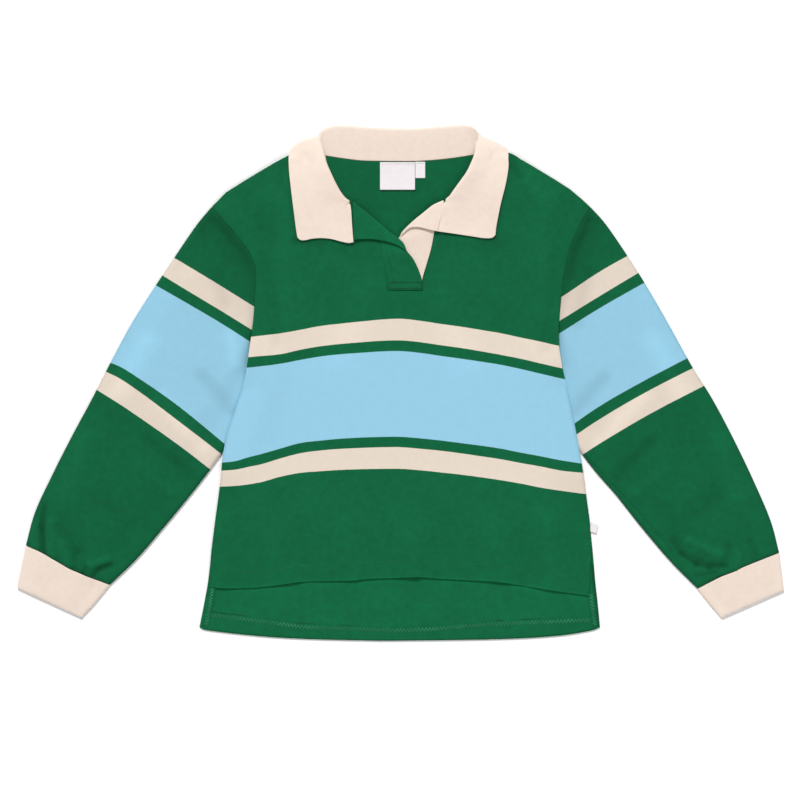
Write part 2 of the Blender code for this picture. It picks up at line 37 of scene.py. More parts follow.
MM = 0.001
WALL = 1.2          # thickness of one layer of cloth
SEAM = 0.4          # gap in plan between two pieces that are sewn together
TOUCH = WALL + 0.3  # from the middle of one layer to the middle of the next
LOFT = 2.4          # air between front and back in the middle of the body
SLEEVE_LOFT = 2.5   # air inside a sleeve
NECK_LIFT = 1.6     # the back rises by this over the collar's fall
TUCK_LIFT = 3.1     # the body's side rises by this over the tucked sleeve
AROUND = 156        # points round a sleeve, and twice those down an armhole
PANEL_CELL = 2.7    # grid of the body panels
EDGE_STEP = 2.4     # spacing of points along a panel's outline

# ---------------------------------------------------------------- outlines

# Armhole and side seam of the body, from the shoulder tip down.
# columns: y, x on the left, x on the right
SIDES = [
    (183, -196.5, 197.4),
    (168, -182.5, 188.6),
    (152, -168.5, 181.0),
    (136, -157.0, 174.5),
    (121, -150.8, 171.0),
    (106, -150.0, 168.5),
    (86, -151.3, 166.5),
    (63, -153.0, 164.5),
    (40, -156.0, 164.3),
    (16, -159.5, 168.0),
    (-6, -164.5, 173.5),
    (-29, -172.0, 178.0),
    (-53, -180.0, 182.7),
    (-74, -184.5, 186.6),
    (-100, -186.8, 190.8),
    (-142, -192.4, 196.5),
    (-174, -196.6, 199.0),
    (-205, -199.4, 201.2),
    (-226, -203.8, 203.7),
    (-253, -208.0, 206.3),
]
# Shoulder line, from the tip to the point under the collar.
# columns: x on the left, y there, x on the right, y there
SHOULDERS = [
    (-196.5, 183.0, 197.4, 183.0),
    (-181.6, 198.2, 188.4, 191.4),
    (-164.0, 209.4, 176.0, 201.8),
    (-146.0, 220.2, 162.0, 210.8),
    (-132.0, 228.4, 146.0, 220.4),
    (-121.0, 234.4, 128.5, 230.8),
    (-113.0, 237.4, 112.0, 239.6),
    (-97.0, 235.0, 95.0, 236.0),
]
# Neck seam across the back. columns: x, y
BACK_NECK = [
    (-97, 235.0), (-80, 236.6), (-64, 234.4), (-42, 231.6), (-19, 231.0), (0, 230.6),
    (16, 230.8), (40, 232.4), (57, 234.4), (76, 237.2), (95, 236.0),
]
# Front neck edge under the collar, from the shoulder point to the placket.
# columns: x on the left, y there, x on the right, y there
FRONT_NECK = [
    (-97.0, 235.0, 95.0, 236.0),
    (-91.5, 223.0, 89.5, 223.0),
    (-86.5, 211.0, 84.5, 211.0),
    (-80.5, 200.5, 77.5, 200.5),
    (-72.5, 191.0, 69.0, 191.0),
    (-62.0, 186.2, 59.0, 186.2),
    (-52.0, 186.0, 48.5, 187.0),
]
# The slit that the placket closes: its left edge going down, its right going up.
# columns: x, y
SLIT_LEFT = [
    (-52.0, 186.0), (-41.0, 176.6), (-28.0, 165.0), (-23.4, 156.5), (-20.8, 148.0),
    (-18.8, 136.0), (-17.0, 122.0), (-15.0, 107.0), (-14.5, 96.6),
]
SLIT_RIGHT = [
    (23.4, 96.6), (23.2, 106.6), (27.0, 121.0), (31.8, 137.5), (34.2, 151.0),
    (35.6, 160.0), (37.6, 169.7), (40.2, 178.0), (43.5, 184.0), (48.5, 187.0),
]
# Hems, left to right. columns: x, y
FRONT_HEM = [
    (-200.0, -212.0), (-184, -213.4), (-158, -213.2), (-141, -211.8), (-121, -209.2),
    (-100, -206.6), (-52, -205.4), (-38, -204.0), (0, -202.4), (21, -201.8), (36, -203.2),
    (72, -205.2), (101, -206.8), (123, -210.2), (145, -213.8), (174, -218.2), (196.0, -221.3),
]
BACK_HEM = [
    (-208.0, -253.0), (-199, -256.4), (-149, -261.8), (-100, -265.3), (-38, -266.9),
    (0, -267.1), (101, -265.6), (160, -261.8), (196, -256.8), (206.3, -253.0),
]

# Sleeves, from the armhole to the cuff seam: the outer fold and the inner
# (underarm) fold at each section. columns: outer x, outer y, inner x, inner y
SLEEVE_LEFT = [
    (-197.2, 183.8, -159.6, 12.0),
    (-213.9, 163.2, -161.6, 1.0),
    (-237.2, 128.5, -161.6, -12.0),
    (-258.5, 96.0, -163.0, -28.0),
    (-279.0, 63.0, -168.5, -45.0),
    (-299.5, 25.0, -179.5, -62.0),
    (-320.5, -16.0, -197.0, -87.5),
    (-342.0, -56.0, -219.0, -116.0),
    (-362.5, -96.5, -247.0, -150.0),
    (-380.0, -134.5, -274.5, -182.0),
    (-389.5, -168.8, -302.8, -209.4),
]
SLEEVE_RIGHT = [
    (198.6, 182.8, 166.8, 20.0),
    (215.5, 163.4, 169.6, 7.0),
    (240.0, 127.0, 170.0, -8.0),
    (260.0, 94.5, 171.0, -25.0),
    (281.0, 57.5, 173.5, -42.0),
    (303.0, 17.5, 182.5, -63.0),
    (325.0, -18.0, 201.2, -89.0),
    (347.0, -59.5, 225.0, -116.4),
    (368.0, -103.5, 251.9, -150.4),
    (385.0, -143.5, 282.2, -186.0),
    (393.8, -176.2, 309.6, -213.6),
]
# The seam between sleeve and cuff sags in gathers. columns: share of the way
# from the outer fold to the inner fold, drop below the straight line
CUFF_SEAM_LEFT = [(0.0, 0.0), (0.14, -0.6), (0.45, 1.6), (0.55, 2.3), (0.65, 1.9), (0.75, 1.7), (0.84, 1.1), (0.94, 0.3), (1.0, 0.0)]
CUFF_SEAM_RIGHT = [(0.0, 0.0), (0.16, -0.9), (0.36, -1.7), (0.46, -1.9), (0.56, -1.5), (0.7, -2.2), (0.85, -1.4), (1.0, -0.4)]
# Cuffs: the outer and inner fold at each section, from the seam to the edge.
CUFF_LEFT = [
    (-389.6, -169.6, -303.2, -210.2),
    (-391.6, -180.0, -309.6, -218.0),
    (-395.0, -196.0, -320.5, -231.0),
    (-398.4, -213.0, -332.4, -243.4),
]
CUFF_RIGHT = [
    (394.0, -177.0, 310.0, -214.4),
    (395.3, -188.0, 316.0, -222.0),
    (397.0, -201.5, 325.0, -233.0),
    (398.8, -215.2, 334.2, -243.6),
]

# The collar, a row for each section round the neck. Its inner edge is sewn to the
# neck (seam), it turns over at fold, and its fall ends at the edge. It is flat at
# the two front ends, where turn is 0. side is the way the fall lies: 0 under the
# back, 90 round the side of the neck, 180 over the front.
# columns: seam x, y, fold x, y, edge x, y, turn radius, side
COLLAR_LEFT = [
    (-48.9, 146.4, -52.0, 146.6, -107.2, 150.0, 0.0, 180),
    (-50.2, 163.0, -53.2, 162.8, -108.8, 162.0, 0.0, 180),
    (-51.9, 184.2, -54.9, 183.8, -110.7, 177.6, 0.0, 180),
    (-56.5, 187.6, -54.2, 188.4, -111.4, 182.5, 1.2, 180),
    (-62.2, 187.0, -58.2, 191.0, -112.3, 190.0, 1.6, 180),
    (-71.8, 192.2, -63.8, 197.6, -113.4, 199.0, 1.8, 180),
    (-79.8, 201.4, -69.4, 207.5, -114.5, 208.5, 1.9, 180),
    (-85.6, 211.6, -74.3, 217.8, -115.5, 217.8, 2.0, 180),
    (-90.5, 223.6, -78.8, 228.4, -116.1, 226.5, 2.0, 170),
    (-94.0, 230.6, -80.6, 237.0, -116.2, 232.5, 2.0, 150),
    (-96.5, 236.2, -82.8, 246.0, -115.8, 237.6, 2.0, 118),
    (-95.5, 237.0, -84.2, 253.2, -114.6, 241.0, 2.0, 90),
    (-93.5, 237.4, -83.2, 257.8, -113.6, 233.5, 2.0, 55),
    (-88.5, 237.4, -79.6, 262.4, -106.0, 222.0, 2.0, 22),
    (-80.0, 237.4, -70.6, 265.8, -90.0, 211.5, 2.0, 0),
    (-64.0, 235.0, -57.0, 266.0, -68.0, 206.5, 2.0, 0),
    (-42.0, 232.2, -40.0, 264.6, -45.0, 203.0, 2.0, 0),
    (-19.0, 231.5, -18.0, 263.2, -20.0, 201.0, 2.0, 0),
]
COLLAR_RIGHT = [
    (37.9, 157.4, 41.0, 157.0, 98.6, 150.6, 0.0, 180),
    (39.6, 168.4, 42.8, 168.2, 99.9, 164.5, 0.0, 180),
    (44.0, 185.0, 47.2, 184.6, 102.8, 180.0, 0.0, 180),
    (51.0, 188.6, 48.6, 190.4, 103.8, 184.8, 1.2, 180),
    (58.0, 187.2, 52.6, 193.6, 105.5, 192.0, 1.6, 180),
    (68.3, 192.2, 58.0, 201.0, 107.8, 200.5, 1.8, 180),
    (76.4, 201.4, 64.2, 209.4, 109.8, 209.5, 1.9, 180),
    (83.4, 211.8, 70.7, 218.6, 111.4, 218.5, 2.0, 180),
    (88.4, 223.6, 75.8, 229.2, 112.2, 226.8, 2.0, 170),
    (92.0, 231.4, 78.8, 237.4, 112.0, 233.4, 2.0, 150),
    (94.6, 237.2, 79.4, 246.6, 112.0, 238.8, 2.0, 118),
    (93.6, 237.9, 80.6, 253.6, 111.2, 242.8, 2.0, 90),
    (91.5, 238.2, 79.8, 258.2, 110.4, 235.0, 2.0, 55),
    (86.5, 238.3, 76.6, 263.4, 102.6, 224.0, 2.0, 22),
    (76.0, 237.9, 69.0, 266.4, 86.0, 213.0, 2.0, 0),
    (57.0, 235.1, 54.6, 266.0, 64.0, 207.5, 2.0, 0),
    (40.0, 233.1, 37.6, 264.6, 42.0, 203.6, 2.0, 0),
    (18.0, 231.5, 17.0, 262.9, 20.0, 201.2, 2.0, 0),
]

# The placket's two strips, from the foot of the slit up. Each is sewn to the slit
# at seam, and its upper end rolls outwards at roll as far as edge; turn is 0
# where it still lies flat. columns: seam x, y, roll x, y, edge x, y, turn, rise of the edge
PLACKET_OVER = [
    (-14.1, 97.0, 19.0, 97.0, 22.9, 97.0, 0.0, 0.9),
    (-14.6, 107.0, 18.8, 106.7, 22.5, 106.6, 0.0, 1.1),
    (-16.6, 121.0, 14.0, 121.0, 17.4, 121.0, 0.0, 1.8),
    (-18.6, 133.0, 7.4, 135.4, 10.4, 132.6, 0.0, 2.8),
    (-20.0, 142.0, 2.4, 143.8, -1.4, 142.4, 1.1, 3.2),
    (-21.4, 150.0, -4.6, 150.6, -13.0, 146.8, 1.2, 2.9),
    (-24.0, 157.5, -13.2, 156.8, -25.0, 149.2, 1.3, 2.6),
    (-28.4, 165.4, -22.6, 164.8, -33.4, 149.8, 1.3, 2.3),
    (-40.6, 177.4, -36.6, 176.6, -41.6, 149.6, 1.3, 2.1),
    (-50.2, 185.6, -49.4, 186.8, -47.9, 149.0, 1.3, 2.1),
]
PLACKET_UNDER = [
    (22.9, 100.0, -7.0, 100.0, -10.6, 100.0, 0.0, -0.6),
    (22.7, 108.0, -6.2, 110.8, -9.6, 111.0, 0.0, -0.6),
    (26.4, 121.2, -4.4, 125.6, -7.6, 126.0, 0.0, -0.6),
    (31.2, 137.5, -1.2, 139.4, -4.4, 139.6, 0.0, -0.6),
    (33.6, 149.0, 0.4, 149.2, -2.8, 149.2, 0.0, 0.2),
    (34.9, 157.0, 1.6, 155.2, 3.6, 157.0, 0.9, 1.7),
    (36.2, 163.5, 6.4, 160.8, 10.6, 161.6, 1.0, 1.9),
    (37.6, 169.9, 14.6, 168.0, 19.0, 162.2, 1.1, 2.0),
    (39.8, 176.6, 24.6, 175.9, 27.6, 160.0, 1.2, 2.1),
    (42.6, 182.8, 34.6, 183.6, 34.4, 158.4, 1.3, 2.3),
    (47.6, 187.0, 45.0, 188.4, 38.6, 157.6, 1.3, 2.5),
]

# Labels: where each is sewn in and how it lies.
# columns: centre x, centre y, width, length, turn in degrees
NECK_LABEL = (-3.1, 215.6, 36.4, 28.8, 0.0)
SIZE_LABEL = (20.6, 221.9, 10.2, 17.0, 0.0)
SIDE_TAB = (201.3, -151.0, 7.6, 8.8, -14.0)

# Soft ridges (+) and troughs (-) laid where the photo shows them.
# columns: x, y at one end, x, y at the other, width, height
FRONT_CREASES = [
    (114, 238, 123, 214, 4.5, -2.2),
    (126, 232, 140, 200, 9.0, 1.3),
    (-117, 238, -119, 206, 3.0, 1.2),
    (-122.5, 230, -125, 200, 3.6, -1.5),
    (-124, 186, -118, 66, 12.0, 1.5),
    (-141, 132, -128, 40, 6.0, -1.2),
    (-160, 196, -138, 152, 13.0, -1.2),
    (150, 186, 151, 74, 12.0, 1.5),
    (161, 128, 152, 34, 6.0, -1.2),
    (172, 190, 160, 150, 12.0, -0.9),
    (-112, 146, -60, 133, 7.0, -0.9),
    (-60, 134, -20, 128, 8.0, -0.6),
    (48, 140, 104, 138, 7.0, -0.8),
    (-30, 92, -64, 22, 20.0, 0.9),
    (40, 88, 68, 16, 18.0, 0.9),
    (-70, 138, -98, 92, 9.0, 0.9),
    (70, 140, 102, 88, 10.0, 0.9),
    (-150, -120, -120, -200, 14.0, 1.1),
    (-104, -150, -96, -206, 9.0, -0.7),
    (-60, -150, -48, -204, 11.0, 1.0),
    (8, -160, 14, -198, 8.0, 1.3),
    (32, -168, 26, -192, 6.0, -0.8),
    (90, -140, 104, -206, 13.0, 1.0),
    (124, -160, 128, -212, 8.0, -0.7),
    (150, -130, 158, -214, 12.0, 1.1),
]
SLEEVE_CREASES_LEFT = [
    (-371.0, -130, -373.4, -150, 3.8, -2.4),
    (-373.4, -150, -371.8, -176, 3.1, -3.4),
    (-364.5, -146, -362, -178, 4.6, 1.6),
    (-381.5, -148, -382.5, -172, 3.6, 1.2),
    (-322.0, -203, -314, -194.0, 2.0, -3.6),
    (-314, -194.0, -301, -189.4, 2.2, -3.6),
    (-322, -190, -304, -184, 4.0, 1.9),
    (-327, -192, -330, -199, 2.4, -1.6),
    (-352, -168, -345, -190, 4.5, 1.3),
    (-337, -176, -341, -196, 4.0, -1.4),
    (-352, -150, -336, -176, 8.0, -0.9),
    (-220, -96, -262, -60, 7.0, -1.3),
    (-236, -116, -272, -88, 7.0, 0.8),
    (-205, -70, -250, -20, 10.0, 1.0),
    (-262, 40, -290, -10, 12.0, 0.9),
    (-190, 108, -178, 60, 8.0, -1.0),
    (-180, 70, -172, 20, 7.0, 0.9),
    (-330, -60, -346, -120, 12.0, 1.0),
    (-176, -28, -206, 6, 8.0, -1.0),
    (-284, -150, -316, -120, 9.0, -0.8),
]
SLEEVE_CREASES_RIGHT = [
    (283.5, -164, 293, -177, 3.8, -2.2),
    (293, -177, 308, -187, 3.4, -3.2),
    (308, -187, 322, -191, 3.2, -3.0),
    (322, -191, 338, -191, 3.0, -1.8),
    (300, -165, 332, -180, 5.0, 2.0),
    (308, -200.5, 327, -197.0, 2.2, -2.2),
    (352, -178, 349, -196, 3.6, 1.2),
    (364, -166, 371, -186, 4.0, -1.3),
    (342, -170, 338, -190, 4.0, -1.0),
    (224, -98, 262, -62, 7.0, -1.3),
    (240, -116, 276, -90, 7.0, 0.8),
    (208, -66, 252, -16, 10.0, 1.0),
    (264, 40, 292, -12, 12.0, 0.9),
    (196, 112, 184, 62, 8.0, -1.0),
    (332, -58, 350, -120, 12.0, 1.0),
    (182, -30, 212, 4, 8.0, -1.0),
    (300, -140, 330, -116, 9.0, -0.8),
]
# The underarm seam of the right sleeve has rolled a little to the front.
# columns: x, y
UNDERARM_RIGHT = [
    (191.9, -75.7), (210.6, -95.5), (228.3, -115.2), (252.2, -140.2), (261.6, -152.7),
    (277.2, -169.3), (286.5, -184.9), (300.0, -204.7),
]

CUFF_CREASES_LEFT = [
    (-375, -170, -379, -196, 6.0, 0.45),
    (-352, -184, -357, -208, 7.0, -0.4),
    (-331, -196, -340, -222, 7.0, 0.45),
    (-316, -206, -322, -220, 4.0, -0.4),
]
CUFF_CREASES_RIGHT = [
    (378, -180, 382, -204, 6.0, 0.45),
    (356, -194, 361, -218, 7.0, -0.35),
    (334, -202, 342, -224, 7.0, 0.45),
]

# ---------------------------------------------------------------- helpers


def smooth(a, b, x):
    """0 below a, 1 above b, eased between them."""
    t = np.clip((np.asarray(x, float) - a) / (b - a), 0.0, 1.0)
    return t * t * (3 - 2 * t)


def table(rows, key, column):
    """A column of a table as a smooth function of another column."""
    rows = sorted((row[key], row[column]) for row in rows)
    xs, ys = np.array(rows, float).T
    slopes = np.gradient(ys, xs)

    def value(x):
        x = np.clip(np.asarray(x, float), xs[0], xs[-1])
        i = np.clip(np.searchsorted(xs, x) - 1, 0, len(xs) - 2)
        h = xs[i + 1] - xs[i]
        t = (x - xs[i]) / h
        return (
            (2 * t**3 - 3 * t**2 + 1) * ys[i]
            + (t**3 - 2 * t**2 + t) * h * slopes[i]
            + (3 * t**2 - 2 * t**3) * ys[i + 1]
            + (t**3 - t**2) * h * slopes[i + 1]
        )

    return value


def spline(points, count=None, step=None):
    """Points spaced evenly along a smooth line through the given ones."""
    points = np.array(points, float)
    ends = np.vstack([2 * points[0] - points[1], points, 2 * points[-1] - points[-2]])
    fine = []
    for a, b, c, d in zip(ends, ends[1:], ends[2:], ends[3:]):
        for t in np.arange(0, 1, 0.05):
            fine.append(
                0.5 * (2 * b + (c - a) * t + (2 * a - 5 * b + 4 * c - d) * t**2
                       + (3 * b - a - 3 * c + d) * t**3)
            )
    fine = np.array(fine + [points[-1]])
    return resample(fine, count or max(2, round(length(fine) / step) + 1))


def length(line):
    return float(np.linalg.norm(np.diff(line, axis=0), axis=1).sum())


def resample(line, count):
    line = np.array(line, float)
    run = np.concatenate([[0], np.cumsum(np.linalg.norm(np.diff(line, axis=0), axis=1))])
    wanted = np.linspace(0, run[-1], count)
    return np.stack([np.interp(wanted, run, line[:, k]) for k in range(line.shape[1])], 1)


def distance(x, y, line):
    """Distance in plan from each point to a polyline."""
    p = np.stack([np.asarray(x, float), np.asarray(y, float)], -1)[..., None, :]
    line = np.asarray(line, float)
    a, b = line[:-1], line[1:]
    ab = b - a
    t = np.clip(((p - a) * ab).sum(-1) / (ab * ab).sum(-1), 0, 1)
    return np.linalg.norm(p - (a + t[..., None] * ab), axis=-1).min(-1)


def inside(x, y, outline):
    """Whether each point is in the polygon."""
    x, y = np.asarray(x, float), np.asarray(y, float)
    found = np.zeros(x.shape, bool)
    for (ax, ay), (bx, by) in zip(outline, np.roll(outline, -1, axis=0)):
        if ay != by:
            found ^= ((ay > y) != (by > y)) & (x < (bx - ax) * (y - ay) / (by - ay) + ax)
    return found


# ---------------------------------------------------------------- heights

LEFT_X, RIGHT_X = table(SIDES, 0, 1), table(SIDES, 0, 2)
SHOULDER_L = [row[:2] for row in SHOULDERS]
SHOULDER_R = [row[2:] for row in SHOULDERS]
SEAM_L = [(row[1], row[0]) for row in SIDES if row[0] < 12]
SEAM_R = [(row[2], row[0]) for row in SIDES if row[0] < 12]


def creases(x, y, rows):
    """Soft ridges and troughs: each a line on the cloth, its width and its height.
    columns: x, y at one end, x, y at the other, width, height"""
    x, y = np.asarray(x, float), np.asarray(y, float)
    total = np.zeros(np.broadcast(x, y).shape)
    for ax, ay, bx, by, width, height in rows:
        far = distance(x, y, [(ax, ay), (bx, by)])
        total = total + height * np.exp(-((far / width) ** 2))
    return total


def roll(far, radius):
    """How far a folded edge has come up, from 0 at the edge to 1 at its radius."""
    t = 1 - np.clip(far / radius, 0, 1)
    return np.sqrt(np.maximum(1 - t * t, 0))


def back_z(x, y):
    """Middle of the back panel: flat on the floor, over the collar's fall at the
    neck, and over the tucked sleeves at its sides."""
    x, y = np.asarray(x, float), np.asarray(y, float)
    neck = smooth(168, 196, y) * (1 - smooth(122, 160, np.abs(x)))
    inward = np.minimum(x - LEFT_X(y), RIGHT_X(y) - x)
    tuck = (1 - smooth(24, 84, y)) * smooth(-124, -88, y)
    return WALL / 2 + NECK_LIFT * neck + TUCK_LIFT * tuck * (1 - smooth(15, 58, inward))


def to_armhole(x, y, side):
    """Distance in plan to the armhole seam on one side."""
    column, last = (1, (-159.9, 12.5)) if side < 0 else (2, (167.2, 20.0))
    low = 18 if side < 0 else 26
    return distance(x, y, spline([(row[column], row[0]) for row in SIDES if row[0] > low] + [last], count=50))


def front_z(x, y):
    """Middle of the front panel: it lies on the back along the shoulder and side
    seams, and swells off it between them."""
    x, y = np.asarray(x, float), np.asarray(y, float)
    arm = np.minimum(to_armhole(x, y, -1), to_armhole(x, y, 1))
    closed = np.minimum.reduce(
        [distance(x, y, line) for line in (SHOULDER_L, SHOULDER_R, SEAM_L, SEAM_R)]
    )
    hem = smooth(-212, -140, y)
    low = 1 - smooth(-214, -186, y)
    lift = 1.5 * np.exp(-(((x - 12) / 17) ** 2)) + 1.0 * np.exp(-(((x + 186) / 12) ** 2))
    lift = lift + 0.6 * np.exp(-(((x + 108) / 18) ** 2)) + 0.5 * np.exp(-(((x - 92) / 22) ** 2))
    plain = back_z(x, y) + TOUCH + LOFT * smooth(0, 30, closed) * hem + low * smooth(0, 14, closed) * (lift - 0.35)
    ripple = 0.30 * (1 - smooth(-225, -110, y)) * hem * (
        np.sin(x / 17.0 + 0.6) + 0.6 * np.sin(x / 9.5 + 2.0)
    )
    soft = smooth(2, 22, closed)
    plain = plain - (0.8 - 0.45 * smooth(100, 140, y) * (x < 0)) * (1 - roll(arm, 3.6))
    return plain + 1.3 * roll(closed, 6.5) * (0.25 + 0.75 * hem) + soft * (creases(x, y, FRONT_CREASES) + np.maximum(ripple, -0.3))


# ---------------------------------------------------------------- surfaces


def grid_in(outline, cell):
    """Points that fill an outline: rings that follow its edge closely, so that an
    edge can roll over smoothly, and a square grid inside them."""
    edge = np.vstack([outline, outline[:1]])
    ahead = np.roll(outline, -1, axis=0) - np.roll(outline, 1, axis=0)
    normal = np.stack([-ahead[:, 1], ahead[:, 0]], 1)
    normal /= np.linalg.norm(normal, axis=1, keepdims=True)
    found = []
    for off in (0.5, 1.2, 2.2, 3.6, 5.2):
        ring = outline + normal * off
        keep = inside(ring[:, 0], ring[:, 1], outline)
        keep &= distance(ring[:, 0], ring[:, 1], edge) > 0.8 * off
        found.append(ring[keep])
    x0, y0 = outline.min(0)
    x1, y1 = outline.max(0)
    gx, gy = np.meshgrid(np.arange(x0 + cell / 2, x1, cell), np.arange(y0 + cell / 2, y1, cell))
    gx, gy = gx.ravel(), gy.ravel()
    keep = inside(gx, gy, outline)
    gx, gy = gx[keep], gy[keep]
    keep = distance(gx, gy, edge) > 5.2 + 0.45 * cell
    found.append(np.stack([gx[keep], gy[keep]], 1))
    return np.vstack(found)


def panel_mesh(outline, height, cell):
    """A flat-laid panel: (points, faces), each point at its height."""
    points = [Vector(p) for p in outline] + [Vector(p) for p in grid_in(outline, cell)]
    found = delaunay_2d_cdt(points, [], [list(range(len(outline)))], 1, 1e-6)
    flat = np.array([tuple(p) for p in found[0]])
    return np.column_stack([flat, height(flat[:, 0], flat[:, 1])]), [tuple(f) for f in found[2]]


def loft_mesh(rows, closed=False):
    """A surface through rows of points, closed round each row for a tube."""
    rows = np.array(rows, float)
    n, m = rows.shape[:2]
    faces = []
    for j in range(n - 1):
        for k in range(m if closed else m - 1):
            q = (k + 1) % m
            faces.append((j * m + k, j * m + q, (j + 1) * m + q, (j + 1) * m + k))
    return rows.reshape(-1, 3), faces


def denser(sections, times):
    """More sections between the given ones, on smooth lines through their points."""
    p = np.array(sections, float)
    p = np.concatenate([[2 * p[0] - p[1]], p, [2 * p[-1] - p[-2]]])
    out = []
    for a, b, c, d in zip(p, p[1:], p[2:], p[3:]):
        for t in np.arange(times) / times:
            out.append(
                0.5 * (2 * b + (c - a) * t + (2 * a - 5 * b + 4 * c - d) * t**2
                       + (3 * b - a - 3 * c + d) * t**3)
            )
    return np.array(out + [p[-2]])


def across_share(half):
    """How far across a tube each point of a ring is, closer together at the folds."""
    return 0.5 - 0.5 * np.cos(np.linspace(0, math.pi, half + 1))


def between(rows, count):
    """More rows, evenly spaced on smooth lines down the columns of a table."""
    return spline([row for row in rows], count=count)


def armhole_line(side, apart):
    """The armhole in plan, from the shoulder tip to the underarm, moved outwards
    by apart. The body's outline and the sleeve's mouth use the same points."""
    column, low = (1, 10) if side < 0 else (2, 18)
    last = (-159.9, 12.5) if side < 0 else (167.2, 20.0)
    points = [(row[column], row[0]) for row in SIDES if row[0] > low + 8] + [last]
    line = spline(points, count=4000)
    line = line[np.round(across_share(AROUND // 2) * 3999).astype(int)]
    run = np.gradient(line, axis=0)
    out = np.stack([run[:, 1], -run[:, 0]], 1) / np.linalg.norm(run, axis=1, keepdims=True)
    out *= np.sign(out[:, :1]) * side
    return line + out * apart


# ---------------------------------------------------------------- body


def body_outline(front):
    """The outline of the front or the back panel, anticlockwise from the left hem."""
    step = EDGE_STEP
    low_l, low_r = (-212.0, -221.3) if front else (-253.0, -253.0)
    hem = FRONT_HEM if front else BACK_HEM
    arm_l, arm_r = armhole_line(-1, 0), armhole_line(1, 0)
    right = [(row[2], row[0]) for row in SIDES if low_r + 14 < row[0] < 17]
    left = [(row[1], row[0]) for row in SIDES if low_l + 14 < row[0] < 12]
    if front:
        right = [(197.6, -189.0), (197.0, -206.0)][::-1] + [p for p in right[::-1] if p[1] > -180]
        right = right[::-1]
    else:
        right = [
            (x + 1.4 * (1 - float(smooth(-205, -150, y))) + 0.8 * math.exp(-(((y + 184) / 16) ** 2)), y)
            for x, y in right
        ]
        left = [(x - 0.8 * math.exp(-(((y + 205) / 11) ** 2)), y) for x, y in left]
        hem = [
            (x + 1.5 * float(smooth(160, 204, x)) - 1.3 * (1 - float(smooth(-206, -165, x))),
             y - 1.1 - 0.7 * math.exp(-(((abs(x) - 165) / 24) ** 2)))
            for x, y in hem
        ]
    right = [hem[-1]] + right[::-1] + [arm_r[-1]]
    left = [arm_l[-1]] + left + [hem[0]]
    pieces = [spline(hem, step=step), spline(right, step=step), arm_r[::-1]]
    pieces.append(spline(SHOULDER_R, step=step))
    if front:
        pieces += [
            spline([row[2:] for row in FRONT_NECK], step=step * 0.7),
            spline(SLIT_RIGHT[::-1], step=step * 0.7),
            np.array([SLIT_RIGHT[0], SLIT_LEFT[-1]]),
            spline(SLIT_LEFT[::-1], step=step * 0.7),
            spline([row[:2] for row in FRONT_NECK][::-1], step=step * 0.7),
        ]
    else:
        pieces.append(spline(BACK_NECK[::-1], step=step * 0.8))
    pieces += [spline(SHOULDER_L[::-1], step=step), arm_l, spline(left, step=step)]
    return np.vstack([piece[:-1] for piece in pieces])


# ---------------------------------------------------------------- sleeves


def tube_rows(rows, mouth, cuff_sag, count, around, loft_height, marks, squeeze=0.0, radius=4.5, crown=0.9):
    """Rings of a flattened tube with rounded folds. rows gives its two folds, mouth
    its curved start, cuff_sag how far its far end sags, marks its creases."""
    folds = between(rows, count)
    half = around // 2
    share = across_share(half)
    rings = []
    for k, (ox, oy, ix, iy) in enumerate(folds):
        along = k / (count - 1)
        outer, inner = np.array([ox, oy]), np.array([ix, iy])
        line = outer + share[:, None] * (inner - outer)
        if mouth is not None:
            chord = folds[0][:2] + share[:, None] * (folds[0][2:] - folds[0][:2])
            line = line + (mouth - chord) * (1 - smooth(0, 0.42, along))
        if cuff_sag is not None:
            across = (inner - outer) / np.linalg.norm(inner - outer)
            down = np.array([across[1], -across[0]])
            down = down if down[1] < 0 else -down
            sag = table(cuff_sag, 0, 1)(share)
            line = line + sag[:, None] * down * smooth(0.72, 1.0, along)
        width = np.linalg.norm(inner - outer)
        edge = np.minimum(share, 1 - share) * width
        swell = smooth(squeeze, squeeze + 30, (1 - share) * width) * smooth(0, 26, share * width)
        up = roll(edge, radius)
        low = roll(edge, 1.6)
        middle = WALL / 2 + TOUCH / 2
        soft = smooth(1.5, 14, edge)
        z_up = middle + (TOUCH / 2 + crown) * up + loft_height(along) * swell
        z_up = z_up + soft * creases(line[:, 0], line[:, 1], marks)
        if mouth is not None:
            arm = to_armhole(line[:, 0], line[:, 1], 1 if ox > 0 else -1)
            z_up = z_up - 0.9 * up * (1 - roll((1 - along) * 430.0, 6.0))
            upper_part = smooth(70, 140, line[:, 1])
            z_up = z_up - soft * (0.7 + 2.1 * upper_part) * smooth(0.5, 11, arm) * (1 - smooth(26, 74, arm))
            z_up = z_up - 0.9 * (1 - upper_part) * (1 - smooth(0, 9, arm)) - 0.4 * (1 - roll(arm, 2.5))
        if mouth is not None and ox > 0:
            z_up = z_up - 1.1 * np.exp(-((distance(line[:, 0], line[:, 1], UNDERARM_RIGHT) / 1.5) ** 2)) * up
        if mouth is None:
            # The cuff's edge is pressed down towards its lower layer.
            z_up = z_up - (z_up - middle - 0.75) * (1 - roll(along * 42.0, 5.0)) * 0.85
        z_low = middle - (TOUCH / 2) * low
        z_up = np.maximum(z_up, z_low + TOUCH * np.minimum(up, low))
        upper = np.column_stack([line, z_up])
        lower = np.column_stack([line, z_low])[::-1][1:-1]
        rings.append(np.vstack([upper, lower]))
    return rings


# ---------------------------------------------------------------- collar and placket


